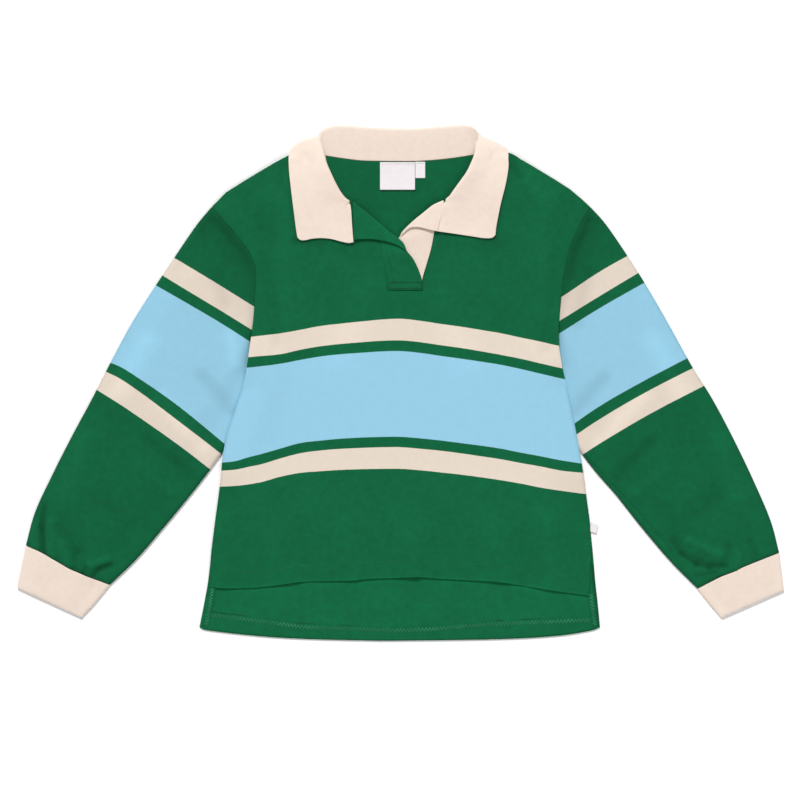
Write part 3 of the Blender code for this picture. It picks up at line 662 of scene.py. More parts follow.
def turned(seam, fold, edge, radius, side, count):
    """A section from the seam, round the fold, to the edge. Every section has its
    fold at the same points, so that the fold runs smoothly from one to the next."""
    seam, fold, edge = (np.array(p, float) for p in (seam, fold, edge))
    first, last = fold_at(count)
    if radius < 0.05:
        run = edge - seam
        share = float(np.clip((fold - seam)[:2] @ run[:2] / (run[:2] @ run[:2]), 0.03, 0.97))
        a, b = max(share - 0.03, 0.015), min(share + 0.03, 0.985)
        marks = np.interp(np.arange(count), [0, first, last, count - 1], [0, a, b, 1])
        return seam + marks[:, None] * run
    to_fold = fold - seam
    to_edge = edge - fold
    flat_1 = np.array([to_fold[0], to_fold[1], 0.0])
    flat_2 = np.array([to_edge[0], to_edge[1], 0.0])
    flat_1 /= np.linalg.norm(flat_1)
    flat_2 /= np.linalg.norm(flat_2)
    tip = flat_1 - flat_2
    tip /= np.linalg.norm(tip)
    aside = np.array([-tip[1], tip[0], 0.0])
    if aside @ (seam - edge) < 0:
        aside = -aside
    turn = math.radians(side)
    apart = math.cos(turn) * np.array([0, 0, 1.0]) + math.sin(turn) * aside
    arc = np.array([
        fold + radius * (math.sin(a) * tip * 0.9 + math.cos(a) * apart)
        for a in np.linspace(0, math.pi, last - first + 1)
    ])
    reach_1, reach_2 = np.linalg.norm(arc[0] - seam), np.linalg.norm(edge - arc[-1])
    lead_1 = arc[0] - tip * min(0.5 * reach_1, 8.0)
    lead_2 = arc[-1] - tip * min(0.4 * reach_2, 10.0)
    lead_1[:2] = arc[0][:2] - flat_1[:2] * min(0.5 * reach_1, 8.0)
    lead_2[:2] = arc[-1][:2] + flat_2[:2] * min(0.4 * reach_2, 10.0)
    up = resample(bezier(seam, seam + (lead_1 - seam) * 0.5, lead_1, arc[0]), first + 1)
    down = resample(bezier(arc[-1], lead_2, lead_2 + (edge - lead_2) * 0.5, edge), count - last)
    return np.vstack([up[:-1], arc, down[1:]])


def fold_at(count):
    """Which points of a section go round its fold."""
    return round(0.30 * count), round(0.30 * count) + 8


def bezier(a, b, c, d):
    t = np.linspace(0, 1, 16)[:, None]
    return (1 - t) ** 3 * a + 3 * t * (1 - t) ** 2 * b + 3 * t * t * (1 - t) * c + t**3 * d


# How the fall's two front ends are cut: share of the way from the neck to the outer
# edge, and how far the end lies above a straight line there.
LEAF_LEFT = [(0, 0), (0.06, -1.0), (0.2, -0.3), (0.38, 1.8), (0.56, 2.3), (0.74, 1.0), (0.9, -1.2), (0.955, -0.9), (1.0, 1.8)]
LEAF_RIGHT = [(0, 0.4), (0.27, -0.1), (0.6, -0.8), (0.82, -1.2), (0.92, -0.4), (0.965, 0.8), (1.0, 3.4)]


def collar_rows(rows_left, rows_right, count):
    """Sections of the collar, from the left front end round the back to the right."""
    first, last = fold_at(count)
    share = np.clip((np.arange(count) - last) / (count - 1 - last), 0, 1)
    sides = []
    for word, rows, leaf, belly in (("left", rows_left, LEAF_LEFT, 4.6), ("right", rows_right, LEAF_RIGHT, 2.0)):
        sections = []
        for sx, sy, fx, fy, ex, ey, radius, side in rows:
            over = float(smooth(95, 165, side))
            under = float(1 - smooth(55, 90, side))
            flat = float(1 - smooth(0.0, 1.2, radius))
            level = float(front_z(sx, sy))
            seam_z = (1 - over) * (back_z(sx, sy) + 1.0 * (1 - under)) + over * (level + 2.6 * flat)
            fold_z = (1 - over) * (WALL / 2 + radius + 0.1 + 0.9 * (1 - under)) + over * (level + radius + 0.1)
            edge_z = over * (float(front_z(ex, ey)) + TOUCH + 0.3) + (1 - over) * (WALL / 2 * under + 3.2 * (1 - under))
            section = turned((sx, sy, seam_z), (fx, fy, fold_z), (ex, ey, edge_z), radius, side, count)
            swell = belly * math.exp(-(((side - 90) / 35) ** 2)) * 4 * share * (1 - share)
            section[:, 0] += (-0.7 if word == "left" else 0.7) * swell
            section[:, 1] += 0.7 * swell
            if over > 0:
                lies = front_z(section[:, 0], section[:, 1]) + TOUCH + 0.3
                spring = max(0.0, float(section[last, 2] - lies[last]))
                lies = lies + spring * (1 - smooth(0.0, 0.55, share))
                past = share > 0 if radius > 0.05 else np.ones(count, bool)
                section[past, 2] = over * lies[past] + (1 - over) * section[past, 2]
            sections.append(section)
        sections = denser(sections, 6)
        # Over the front the sections are spaced evenly and their heights eased.
        span = 6 * 7 + 1
        head = sections[:span]
        steps = np.linalg.norm(np.diff(head[:, last:], axis=0), axis=2).mean(1)
        walk = np.concatenate([[0], np.cumsum(steps)])
        even = np.linspace(0, walk[-1], span)
        head = np.stack(
            [[np.interp(even, walk, head[:, k, c]) for k in range(count)] for c in range(3)], -1
        ).transpose(1, 0, 2)
        for turn in range(40):
            leaf_part = head[:, last:] if turn < 3 else head[:, last:, 2:]
            leaf_part[1:-1] = 0.25 * leaf_part[:-2] + 0.5 * leaf_part[1:-1] + 0.25 * leaf_part[2:]
        sections[:span] = head
        low = sections[0, :, 1].copy()
        fade = 1 - smooth(0, 16, sections[:, :, 1].mean(1) - low.mean())
        reach = np.linalg.norm(sections[0] - sections[0, 0], axis=1)
        cut = table(leaf, 0, 1)(reach / reach[-1])
        sections[:, :, 1] += fade[:, None] * cut
        sides.append(sections)
    back = denser([sides[0][-13], sides[0][-7], sides[0][-1], sides[1][-1], sides[1][-7], sides[1][-13]], 12)[25:36]
    return np.concatenate([sides[0], back, sides[1][::-1]])


def strip_rows(rows, count, rise, ramp):
    """Sections of one of the placket's strips."""
    rows = [list(map(float, row)) for row in rows]
    sections = []
    for sx, sy, rx, ry, ex, ey, radius, edge_rise in rows:
        level = float(front_z(sx, sy))
        seam, roll, edge = (
            (sx, sy, level), (rx, ry, level + rise + radius), (ex, ey, level + edge_rise)
        )
        section = turned(seam, roll, edge, radius, 180, count)
        run = np.linalg.norm(section[:, :2] - np.array([sx, sy]), axis=1)
        if radius < 0.05:
            section[:, 2] = level + rise * smooth(-0.1, ramp, run) + (edge_rise - rise) * smooth(3, 34, run)
        sections.append(section)
    return sections


# ---------------------------------------------------------------- colour bands

# The six edges of the knitted bands, from the upper cream band's top down to the
# lower cream band's foot, in plan. columns: x, then y of each edge
BANDS_BODY = [
    (-188, 46.0, 24.5, 14.0, -83.0, -91.0, -107.5),
    (-170, 47.0, 25.5, 15.0, -80.8, -89.6, -106.5),
    (-158, 47.8, 26.8, 16.2, -77.0, -87.0, -105.0),
    (-146, 49.2, 28.0, 17.4, -74.0, -84.6, -103.0),
    (-125, 51.8, 29.9, 20.2, -68.0, -78.3, -97.2),
    (-104, 55.5, 34.7, 24.2, -62.2, -72.8, -93.2),
    (-84, 59.3, 38.2, 27.6, -59.8, -70.0, -91.6),
    (-63, 61.8, 40.6, 30.0, -57.8, -68.3, -90.2),
    (-42, 64.0, 42.4, 31.5, -56.6, -67.3, -89.5),
    (-21, 66.0, 43.9, 32.9, -55.9, -66.6, -89.1),
    (0, 67.0, 44.4, 33.3, -55.8, -66.5, -89.1),
    (21, 64.8, 42.5, 31.4, -57.4, -68.2, -90.6),
    (42, 61.6, 39.4, 28.3, -59.6, -70.2, -92.8),
    (63, 58.7, 36.5, 25.4, -62.3, -72.9, -95.1),
    (84, 55.3, 33.0, 22.3, -65.0, -76.0, -97.9),
    (104, 52.0, 29.4, 19.2, -68.0, -79.0, -100.8),
    (125, 47.4, 25.3, 14.7, -72.2, -83.0, -104.4),
    (146, 43.0, 20.3, 9.7, -76.0, -86.6, -108.6),
    (167, 38.2, 15.6, 4.9, -80.2, -90.8, -111.8),
    (186, 35.0, 12.0, 1.5, -83.2, -92.8, -114.4),
]
BANDS_LEFT = [
    (-312, 178, 152, 137.5, 24.5, 14.5, -9.5),
    (-290, 164, 138.3, 123.5, 16.3, 3.8, -23.1),
    (-271, 152, 126.6, 111.5, 4.4, -9.2, -36),
    (-229.5, 127, 101, 87.5, -24.8, -40.4, -65.3),
    (-188, 102, 76, 63.3, -59, -72.6, -97.6),
    (-151, 79, 53.2, 39.8, -90.3, -101.7, -125.7),
]
BANDS_RIGHT = [
    (166, 88.7, 65.2, 52.2, -52.8, -65.3, -90.3),
    (207.5, 116.2, 90.7, 78.2, -23.7, -37.3, -62.7),
    (249, 139.6, 115.7, 101.8, 0.2, -12.8, -37.8),
    (290.7, 163.5, 140.6, 125, 22.1, 9, -15.4),
    (311.5, 176, 153, 137, 32.5, 19, -5),
]
# Where those edges fall along the cloth, in millimetres from the upper band's top
EDGES = (0.0, -20.0, -31.0, -120.0, -131.0, -152.0)


def along_cloth(rows):
    """Distance down the cloth, in millimetres, from the bands' lines in plan."""
    xs = np.array([row[0] for row in rows], float)
    lines = np.array([row[1:] for row in rows], float)
    curves = [table(rows, 0, k + 1) for k in range(6)]

    def value(x, y):
        edges = np.stack([curve(x) for curve in curves])
        for k in range(6):
            ends = [(0, 1), (-2, -1)]
            for (a, b), side in zip(ends, (x < xs[0], x > xs[-1])):
                slope = (lines[b, k] - lines[a, k]) / (xs[b] - xs[a])
                base = xs[0] if a == 0 else xs[-1]
                edges[k] = np.where(side, lines[0 if a == 0 else -1, k] + slope * (x - base), edges[k])
        v = np.where(y > edges[0], y - edges[0], 0.0)
        for k in range(5):
            t = (edges[k] - y) / (edges[k] - edges[k + 1])
            here = (t >= 0) & (t < 1)
            v = np.where(here, EDGES[k] + t * (EDGES[k + 1] - EDGES[k]), v)
        return np.where(y <= edges[5], EDGES[5] + (y - edges[5]), v)

    return value


V_BODY, V_LEFT, V_RIGHT = (along_cloth(t) for t in (BANDS_BODY, BANDS_LEFT, BANDS_RIGHT))


# ---------------------------------------------------------------- materials


def linear(r, g, b):
    return tuple(
        (c / 12.92 if c <= 0.04045 else ((c + 0.055) / 1.055) ** 2.4)
        for c in (r / 255, g / 255, b / 255)
    )


GREEN = linear(13, 97, 60)
BAND_CREAM = linear(226, 212, 197)
BLUE = linear(149, 202, 226)
CREAM = linear(241, 223, 209)
WHITE = linear(236, 230, 233)


class Nodes:
    """A short way to write node trees."""

    def __init__(self, name):
        self.material = bpy.data.materials.new(name)
        self.material.use_nodes = True
        self.tree = self.material.node_tree
        self.shader = self.tree.nodes["Principled BSDF"]
        self.output = self.tree.nodes["Material Output"]

    def add(self, kind, **settings):
        node = self.tree.nodes.new(kind)
        for key, value in settings.items():
            setattr(node, key, value)
        return node

    def link(self, a, b):
        self.tree.links.new(a, b)

    def put(self, socket, value):
        if isinstance(value, (int, float)):
            socket.default_value = value
        elif isinstance(value, tuple):
            socket.default_value = value if len(value) == len(socket.default_value) else (*value, 1)
        else:
            self.link(value, socket)

    def math(self, operation, a, b=0.0, c=None):
        node = self.add("ShaderNodeMath", operation=operation)
        self.put(node.inputs[0], a)
        self.put(node.inputs[1], b)
        if c is not None:
            self.put(node.inputs[2], c)
        return node.outputs[0]

    def mix(self, share, a, b, blend="MIX"):
        node = self.add("ShaderNodeMix", data_type="RGBA", blend_type=blend)
        self.put(node.inputs["Factor"], share)
        self.put(node.inputs[6], a)
        self.put(node.inputs[7], b)
        return node.outputs[2]

    def noise(self, vector, scale, detail=3.0, rough=0.55):
        node = self.add("ShaderNodeTexNoise")
        self.link(vector, node.inputs["Vector"])
        node.inputs["Scale"].default_value = scale
        node.inputs["Detail"].default_value = detail
        node.inputs["Roughness"].default_value = rough
        return node.outputs["Fac"]

    def range(self, value, low, high, to_low, to_high):
        node = self.add("ShaderNodeMapRange")
        self.put(node.inputs["Value"], value)
        for name, number in zip(("From Min", "From Max", "To Min", "To Max"), (low, high, to_low, to_high)):
            node.inputs[name].default_value = number
        return node.outputs["Result"]

    def uv(self):
        node = self.add("ShaderNodeUVMap", uv_map="cloth")
        parts = self.add("ShaderNodeSeparateXYZ")
        self.link(node.outputs["UV"], parts.inputs[0])
        return node.outputs["UV"], parts.outputs["X"], parts.outputs["Y"]

    def painted_light(self):
        """Painted shade and highlight kept on the mesh: darker in folds, beside seams and edges, lighter along some
        hems.
        """
        return self.add("ShaderNodeAttribute", attribute_name="painted_light").outputs["Fac"]

    def space(self):
        return self.add("ShaderNodeTexCoord").outputs["Object"]


def jersey(name, banded, tone=1.0, reverse=False):
    """Cotton jersey: wales of small stitches, a soft nap, and knitted-in bands."""
    n = Nodes(name)
    uv, u, v = n.uv()
    place = n.space()
    wale = n.math("MULTIPLY", u, 2 * math.pi / 0.00115)
    course = n.math("MULTIPLY", v, 2 * math.pi / 0.00095)
    lean = n.math("MULTIPLY", n.math("COSINE", wale), 1.5)
    stitch = n.math("SINE", n.math("ADD", course, lean))
    rib = n.math("SINE", wale)
    height = n.math("ADD", n.math("MULTIPLY", rib, 0.30), n.math("MULTIPLY", stitch, 0.22))
    fuzz = n.noise(place, 900.0, 2.0, 0.6)
    slub = n.noise(place, 140.0, 3.0, 0.6)
    soft = n.noise(place, 26.0, 2.0, 0.5)
    height = n.math("ADD", height, n.math("MULTIPLY", fuzz, 0.7))
    height = n.math("ADD", height, n.math("MULTIPLY", slub, 0.9))
    # The dark green shows its nap more than the pale bands do.
    deep = n.range(slub, 0.3, 0.7, 0.90, 1.09)
    deep = n.math("MULTIPLY", deep, n.range(soft, 0.3, 0.7, 0.955, 1.04))
    deep = n.math("MULTIPLY", deep, n.range(fuzz, 0.3, 0.7, 0.93, 1.07))
    pale = n.range(slub, 0.3, 0.7, 0.978, 1.014)
    pale = n.math("MULTIPLY", pale, n.range(fuzz, 0.3, 0.7, 0.985, 1.012))
    colour = n.mix(1.0, GREEN, n.grey(deep), "MULTIPLY")
    if banded:
        ragged = n.math("MULTIPLY", n.math("SUBTRACT", fuzz, 0.5), 0.0006)
        here = n.math("ADD", v, ragged)
        for top, foot, paint in (
            (EDGES[0], EDGES[1], BAND_CREAM), (EDGES[2], EDGES[3], BLUE), (EDGES[4], EDGES[5], BAND_CREAM)
        ):
            low = n.range(here, foot * MM - 0.0002, foot * MM + 0.0002, 0, 1)
            high = n.range(here, top * MM - 0.0002, top * MM + 0.0002, 1, 0)
            paint = n.mix(1.0, paint, n.grey(pale), "MULTIPLY")
            colour = n.mix(n.math("MULTIPLY", low, high), colour, paint)
    wales_and_painted_light = n.range(rib, -1, 1, 0.97 * tone, 1.03 * tone)
    # Painted shade and highlight from the mesh attribute are multiplied into the knit's colour here.
    wales_and_painted_light = n.math("MULTIPLY", wales_and_painted_light, n.painted_light())
    if reverse:
        # The turned-out end of the strip shows the paler reverse of the cloth.
        wales_and_painted_light = n.math("MULTIPLY", wales_and_painted_light, n.range(u, 0.034, 0.048, 1.0, 1.15))
    colour = n.mix(1.0, colour, n.grey(wales_and_painted_light), "MULTIPLY")
    n.link(colour, n.shader.inputs["Base Color"])
    bump = n.add("ShaderNodeBump")
    bump.inputs["Strength"].default_value = 0.45
    bump.inputs["Distance"].default_value = 0.00022
    n.link(height, bump.inputs["Height"])
    n.link(bump.outputs["Normal"], n.shader.inputs["Normal"])
    rough = n.range(slub, 0.2, 0.8, 0.80, 0.95)
    n.link(rough, n.shader.inputs["Roughness"])
    n.shader.inputs["Specular IOR Level"].default_value = 0.10
    n.shader.inputs["Sheen Weight"].default_value = 0.05
    n.shader.inputs["Sheen Roughness"].default_value = 0.45
    return n.material


def grey(self, value):
    node = self.add("ShaderNodeCombineColor")
    for socket in node.inputs[:3]:
        self.link(value, socket)
    return node.outputs[0]


Nodes.grey = grey


def twill(name, base, pitch=0.0009, strength=0.5, rib=False):
    """Cotton twill with fine slanting lines, or a fine rib that runs lengthwise."""
    n = Nodes(name)
    uv, u, v = n.uv()
    place = n.space()
    slant = u if rib else n.math("ADD", u, v)
    line = n.math("SINE", n.math("MULTIPLY", slant, 2 * math.pi / pitch))
    cross = n.math("SINE", n.math("MULTIPLY", v if rib else n.math("SUBTRACT", u, v), 2 * math.pi / (pitch * 0.62)))
    fuzz = n.noise(place, 1100.0, 2.0, 0.6)
    slub = n.noise(place, 170.0, 3.0, 0.6)
    height = n.math("ADD", n.math("MULTIPLY", line, 0.45), n.math("MULTIPLY", cross, 0.15))
    height = n.math("ADD", height, n.math("MULTIPLY", fuzz, 0.6))
    height = n.math("ADD", height, n.math("MULTIPLY", slub, 0.5))
    shade = n.range(slub, 0.3, 0.7, 0.97, 1.02)
    shade = n.math("MULTIPLY", shade, n.range(line, -1, 1, 0.985, 1.012))
    # Painted shade from the mesh attribute is multiplied into the twill's colour here.
    shade = n.math("MULTIPLY", shade, n.painted_light())
    n.link(n.mix(1.0, base, n.grey(shade), "MULTIPLY"), n.shader.inputs["Base Color"])
    bump = n.add("ShaderNodeBump")
    bump.inputs["Strength"].default_value = strength
    bump.inputs["Distance"].default_value = 0.00018
    n.link(height, bump.inputs["Height"])
    n.link(bump.outputs["Normal"], n.shader.inputs["Normal"])
    n.link(n.range(slub, 0.2, 0.8, 0.78, 0.92), n.shader.inputs["Roughness"])
    n.shader.inputs["Specular IOR Level"].default_value = 0.2
    n.shader.inputs["Sheen Weight"].default_value = 0.06
    n.shader.inputs["Sheen Roughness"].default_value = 0.5
    return n.material


def thread(name, base):
    n = Nodes(name)
    place = n.space()
    ply = n.noise(place, 1500.0, 1.0, 0.5)
    patches = n.range(n.noise(place, 30.0, 2.0, 0.6), 0.38, 0.62, 0.62, 1.10)
    shade = n.math("MULTIPLY", n.range(ply, 0.3, 0.7, 0.9, 1.08), patches)
    n.link(n.mix(1.0, base, n.grey(shade), "MULTIPLY"), n.shader.inputs["Base Color"])
    bump = n.add("ShaderNodeBump")
    bump.inputs["Strength"].default_value = 0.4
    bump.inputs["Distance"].default_value = 0.0001
    n.link(ply, bump.inputs["Height"])
    n.link(bump.outputs["Normal"], n.shader.inputs["Normal"])
    n.shader.inputs["Roughness"].default_value = 0.6
    n.shader.inputs["Specular IOR Level"].default_value = 0.3
    return n.material


# ---------------------------------------------------------------- pieces


def add_piece(name, points, faces, material, thickness, uv, nodes=(), painted_light=None):
    """A thin shell on its solid's form. uv gives each point its place on the cloth
    in millimetres."""
    mesh = bpy.data.meshes.new(name)
    mesh.from_pydata([tuple(p) for p in np.asarray(points) * MM], [], faces)
    bm = bmesh.new()
    bm.from_mesh(mesh)
    bmesh.ops.recalc_face_normals(bm, faces=bm.faces)
    bm.to_mesh(mesh)
    bm.free()
    layer = mesh.uv_layers.new(name="cloth")
    index = np.empty(len(mesh.loops), np.int32)
    mesh.loops.foreach_get("vertex_index", index)
    layer.data.foreach_set("uv", (np.asarray(uv, float)[index] * MM).astype(np.float32).ravel())
    # Painted shade and highlight for each point, which the cloth materials multiply into their colour.
    painted_light_layer = mesh.attributes.new("painted_light", "FLOAT", "POINT")
    painted_light_layer.data.foreach_set("value", np.ones(len(points), np.float32) if painted_light is None else painted_light.astype(np.float32))
    mesh.materials.append(material)
    mesh.shade_smooth()
    obj = bpy.data.objects.new(name, mesh)
    bpy.context.scene.collection.objects.link(obj)
    if thickness:
        wall = obj.modifiers.new("wall", "SOLIDIFY")
        wall.thickness = thickness * MM
        wall.offset = 0.0
        soften = obj.modifiers.new("soften", "BEVEL")
        soften.width = 0.0003
        soften.segments = 2
        soften.limit_method = "ANGLE"
        soften.angle_limit = math.radians(60)
    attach(obj, "root")
    if nodes:
        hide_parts(*nodes)
    return obj


def metric_uv(rows, from_edge=False):
    """Distances along and across a loft, in millimetres, from its first or last edge."""
    rows = np.array(rows, float)
    across = np.concatenate(
        [np.zeros((len(rows), 1)), np.cumsum(np.linalg.norm(np.diff(rows, axis=1), axis=2), 1)], 1
    )
    if from_edge:
        across = across - across[:, -1:]
    step = np.linalg.norm(np.diff(rows, axis=0), axis=2).mean(1)
    along = np.concatenate([[0], np.cumsum(step)])[:, None] + 0 * across
    return np.stack([along, across], -1).reshape(-1, 2)


def stitches(name, lines, material, pitch=3.4, reach=2.5, radius=0.28, zigzag=0.0):
    """Rows of thread stitches along lines that lie on the cloth."""
    points, faces = [], []
    for line in lines:
        line = np.array(line, float)
        total = length(line)
        count = max(1, int(total / pitch))
        run = np.concatenate([[0], np.cumsum(np.linalg.norm(np.diff(line, axis=0), axis=1))])
        for k in range(count):
            start = (k + 0.5) * total / count - reach / 2
            ends = [
                np.array([np.interp(s, run, line[:, c]) for c in range(3)]) for s in (start, start + reach)
            ]
            along = ends[1] - ends[0]
            size = np.linalg.norm(along)
            if size < 1e-6:
                continue
            along /= size
            side = np.cross([0, 0, 1.0], along)
            side /= np.linalg.norm(side)
            if zigzag:
                swing = zigzag if k % 2 else -zigzag
                ends[0] = ends[0] - side * swing
                ends[1] = ends[1] + side * swing
            up = np.cross(along, side)
            base = len(points)
            for t, r, lift in ((0, 0.35, -0.30), (0.2, 1, 0.0), (0.5, 1.1, 0.08), (0.8, 1, 0.0), (1, 0.35, -0.30)):
                centre = ends[0] + (ends[1] - ends[0]) * t + up * (lift * radius * 2)
                for a in range(6):
                    angle = a * math.pi / 3
                    points.append(centre + radius * r * (math.cos(angle) * side + math.sin(angle) * up))
            for j in range(4):
                for a in range(6):
                    b = (a + 1) % 6
                    faces.append((base + 6 * j + a, base + 6 * j + b, base + 6 * j + 6 + b, base + 6 * j + 6 + a))
            faces.append(tuple(base + a for a in range(5, -1, -1)))
            faces.append(tuple(base + 24 + a for a in range(6)))
    points = np.array(points)
    return add_piece(name, points, faces, material, 0, points[:, :2])


def on_surface(line, height, up=0.75, step=3.0):
    """A line drawn in plan, lifted onto the cloth's face."""
    flat = spline(line, step=step) if len(line) > 2 else resample(line, 30)
    return np.column_stack([flat, height(flat[:, 0], flat[:, 1]) + up])


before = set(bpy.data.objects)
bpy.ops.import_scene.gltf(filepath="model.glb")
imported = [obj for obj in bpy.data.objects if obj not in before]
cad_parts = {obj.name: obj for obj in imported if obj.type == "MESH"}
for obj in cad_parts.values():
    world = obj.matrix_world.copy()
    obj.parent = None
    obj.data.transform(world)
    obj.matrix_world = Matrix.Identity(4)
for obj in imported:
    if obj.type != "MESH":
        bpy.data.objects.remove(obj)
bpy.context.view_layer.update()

m_body = jersey("jersey_banded", True)
m_sleeve = jersey("jersey_sleeve", True, tone=0.955)
m_inside = jersey("jersey_inside", True, tone=1.04)
m_plain = jersey("jersey_plain", False, tone=1.04)
m_strip = jersey("jersey_strip", False, reverse=True)
m_collar = twill("collar_twill", CREAM)
m_cuff = twill("cuff_twill", linear(236, 219, 205), rib=True, pitch=0.0013)
m_label = twill("label_satin", WHITE, pitch=0.0006, strength=0.3)
t_green = thread("thread_green", linear(80, 166, 128))
t_dark = thread("thread_dark_green", linear(10, 72, 46))
t_plain = thread("thread_plain_green", linear(38, 116, 82))
t_white = thread("thread_white", linear(238, 236, 236))


def front_painted_light(points):
    # Painted shade beside the armholes, seams, the collar's edges, the lapel and two spots at the shoulders, and
    # painted shade and light along the creases.
    x, y = points[:, 0], points[:, 1]
    arm = np.minimum(to_armhole(x, y, -1), to_armhole(x, y, 1))
    shade = 0.05 * np.exp(-((arm / 6) ** 2)) * smooth(90, 130, y)
    for line in (SHOULDER_L, SHOULDER_R, SEAM_L, SEAM_R):
        shade = shade + 0.13 * np.exp(-((distance(x, y, line) / 1.9) ** 2))
    for rows in (COLLAR_LEFT, COLLAR_RIGHT):
        edge = [(row[4], row[5]) for row in rows if row[7] > 140]
        shade = shade + 0.24 * np.exp(-((distance(x, y, edge) / 2.6) ** 2))
        end = [(rows[0][0], rows[0][1] - 0.5), (rows[0][4], rows[0][5] - 0.5)]
        shade = shade + 0.12 * np.exp(-((distance(x, y, end) / 4.5) ** 2))
    for spot_x, spot_y in ((119.0, 226.0), (-121.0, 231.0)):
        shade = shade + 0.10 * np.exp(-(((x - spot_x) ** 2 + (y - spot_y) ** 2) / 60))
    lapel = [(row[4], row[5]) for row in PLACKET_OVER if row[6] > 0]
    shade = shade + 0.15 * np.exp(-((distance(x, y, lapel) / 5.0) ** 2))
    # Painted highlight along the hem's edge; the lower front is also made lighter towards the hem.
    hem_highlight = 0.16 * np.exp(-((distance(x, y, FRONT_HEM) / 1.5) ** 2))
    hem_highlight = hem_highlight + 0.03 * (1 - smooth(-150, -60, y))
    return np.clip(1 + 0.05 * creases(x, y, FRONT_CREASES) - shade + hem_highlight, 0.74, 1.18)


def sleeve_painted_light(points, rows, marks, side):
    # Painted shade beside the armhole, along both folds and the cuff seam, and painted shade and light along the
    # creases.
    x, y = points[:, 0], points[:, 1]
    arm = to_armhole(x, y, side)
    upper_part = smooth(60, 130, y)
    shade = 0.25 * upper_part * np.exp(-((np.maximum(arm - 3, 0) / (22 if side < 0 else 15)) ** 2))
    shade = shade + 0.15 * (1 - upper_part) * np.exp(-((arm / 6) ** 2))
    for k in (0, 2):
        shade = shade + 0.14 * np.exp(-((distance(x, y, [(row[k], row[k + 1]) for row in rows]) / 1.9) ** 2))
    cuff = distance(x, y, [(rows[-1][0], rows[-1][1]), (rows[-1][2], rows[-1][3])])
    shade = shade + 0.10 * np.exp(-((cuff / 3.0) ** 2))
    return np.clip(1 + 0.105 * creases(x, y, marks) - shade, 0.58, 1.10)


# Back and front
outline = body_outline(False)
points, faces = panel_mesh(outline, back_z, PANEL_CELL)
uv = np.column_stack([points[:, 0], V_BODY(points[:, 0], points[:, 1])])
back_x, back_y = points[:, 0], points[:, 1]
# Painted shade at the neck under the collar and along the rolled side and hem edges, the back made lighter towards the
# hem, and painted light on the front hem's shadow.
shade = 1 - 0.13 * smooth(150, 205, back_y) + 0.06 * (1 - smooth(-225, -185, back_y))
shade = shade + 0.14 * np.exp(-(((distance(back_x, back_y, FRONT_HEM) - 1.5) / 2.6) ** 2))
for edge, dark, reach in (
    ([(200.9, -190.0), (202.0, -208.0), (203.9, -222.0), (206.2, -238.0), (207.6, -252.0)], 0.52, 2.4),
    ([(-204.0, -214.0), (-206.0, -230.0), (-208.4, -244.0), (-209.6, -252.0)], 0.30, 1.3),
    (BACK_HEM, 0.24, 1.3),
):
    shade = shade - dark * np.exp(-((distance(back_x, back_y, edge) / reach) ** 2))
back = add_piece("back", points, faces, m_inside, 1.2, uv, ["back_panel"], shade)
outline = body_outline(True)
points, faces = panel_mesh(outline, front_z, PANEL_CELL)
uv = np.column_stack([points[:, 0], V_BODY(points[:, 0], points[:, 1])])
front = add_piece("front", points, faces, m_body, 1.2, uv, ["front_panel"], front_painted_light(points))


# Sleeves and cuffs
def sleeve_fullness(along):
    return SLEEVE_LOFT * (0.85 + 0.15 * math.sin(math.pi * along))


def cuff_fullness(along):
    return SLEEVE_LOFT * (0.06 + 0.80 * along)


for side, word, rows, sag, marks, bands, lean in (
    (-1, "left", SLEEVE_LEFT, CUFF_SEAM_LEFT, SLEEVE_CREASES_LEFT, V_LEFT, -0.483),
    (1, "right", SLEEVE_RIGHT, CUFF_SEAM_RIGHT, SLEEVE_CREASES_RIGHT, V_RIGHT, 0.483),
):
    rings = tube_rows(rows, armhole_line(side, SEAM), sag, 205, AROUND, sleeve_fullness, marks, squeeze=16)
    points, faces = loft_mesh(rings, closed=True)
    x, y = points[:, 0], points[:, 1]
    uv = np.column_stack([0.876 * x + lean * y, bands(x, y)])
    add_piece(
        "sleeve_" + word, points, faces, m_sleeve, 1.2, uv, ["sleeve_viewer_" + word],
        sleeve_painted_light(points, rows, marks, side),
    )
for side, word, rows, sag, marks in (
    (-1, "left", CUFF_LEFT, CUFF_SEAM_LEFT, CUFF_CREASES_LEFT),
    (1, "right", CUFF_RIGHT, CUFF_SEAM_RIGHT, CUFF_CREASES_RIGHT),
):
    rings = tube_rows(rows[::-1], None, sag, 26, AROUND, cuff_fullness, marks, radius=3.6, crown=0.35)
    points, faces = loft_mesh(rings, closed=True)
    uv = np.column_stack([points[:, 0] * 0.9 + side * 0.45 * points[:, 1], points[:, 1]])
    add_piece(
        "cuff_" + word, points, faces, m_cuff, 1.3, uv, ["cuff_viewer_" + word]
    )

# Collar and placket
collar_grid = collar_rows(COLLAR_LEFT, COLLAR_RIGHT, 64)
points, faces = loft_mesh(collar_grid)
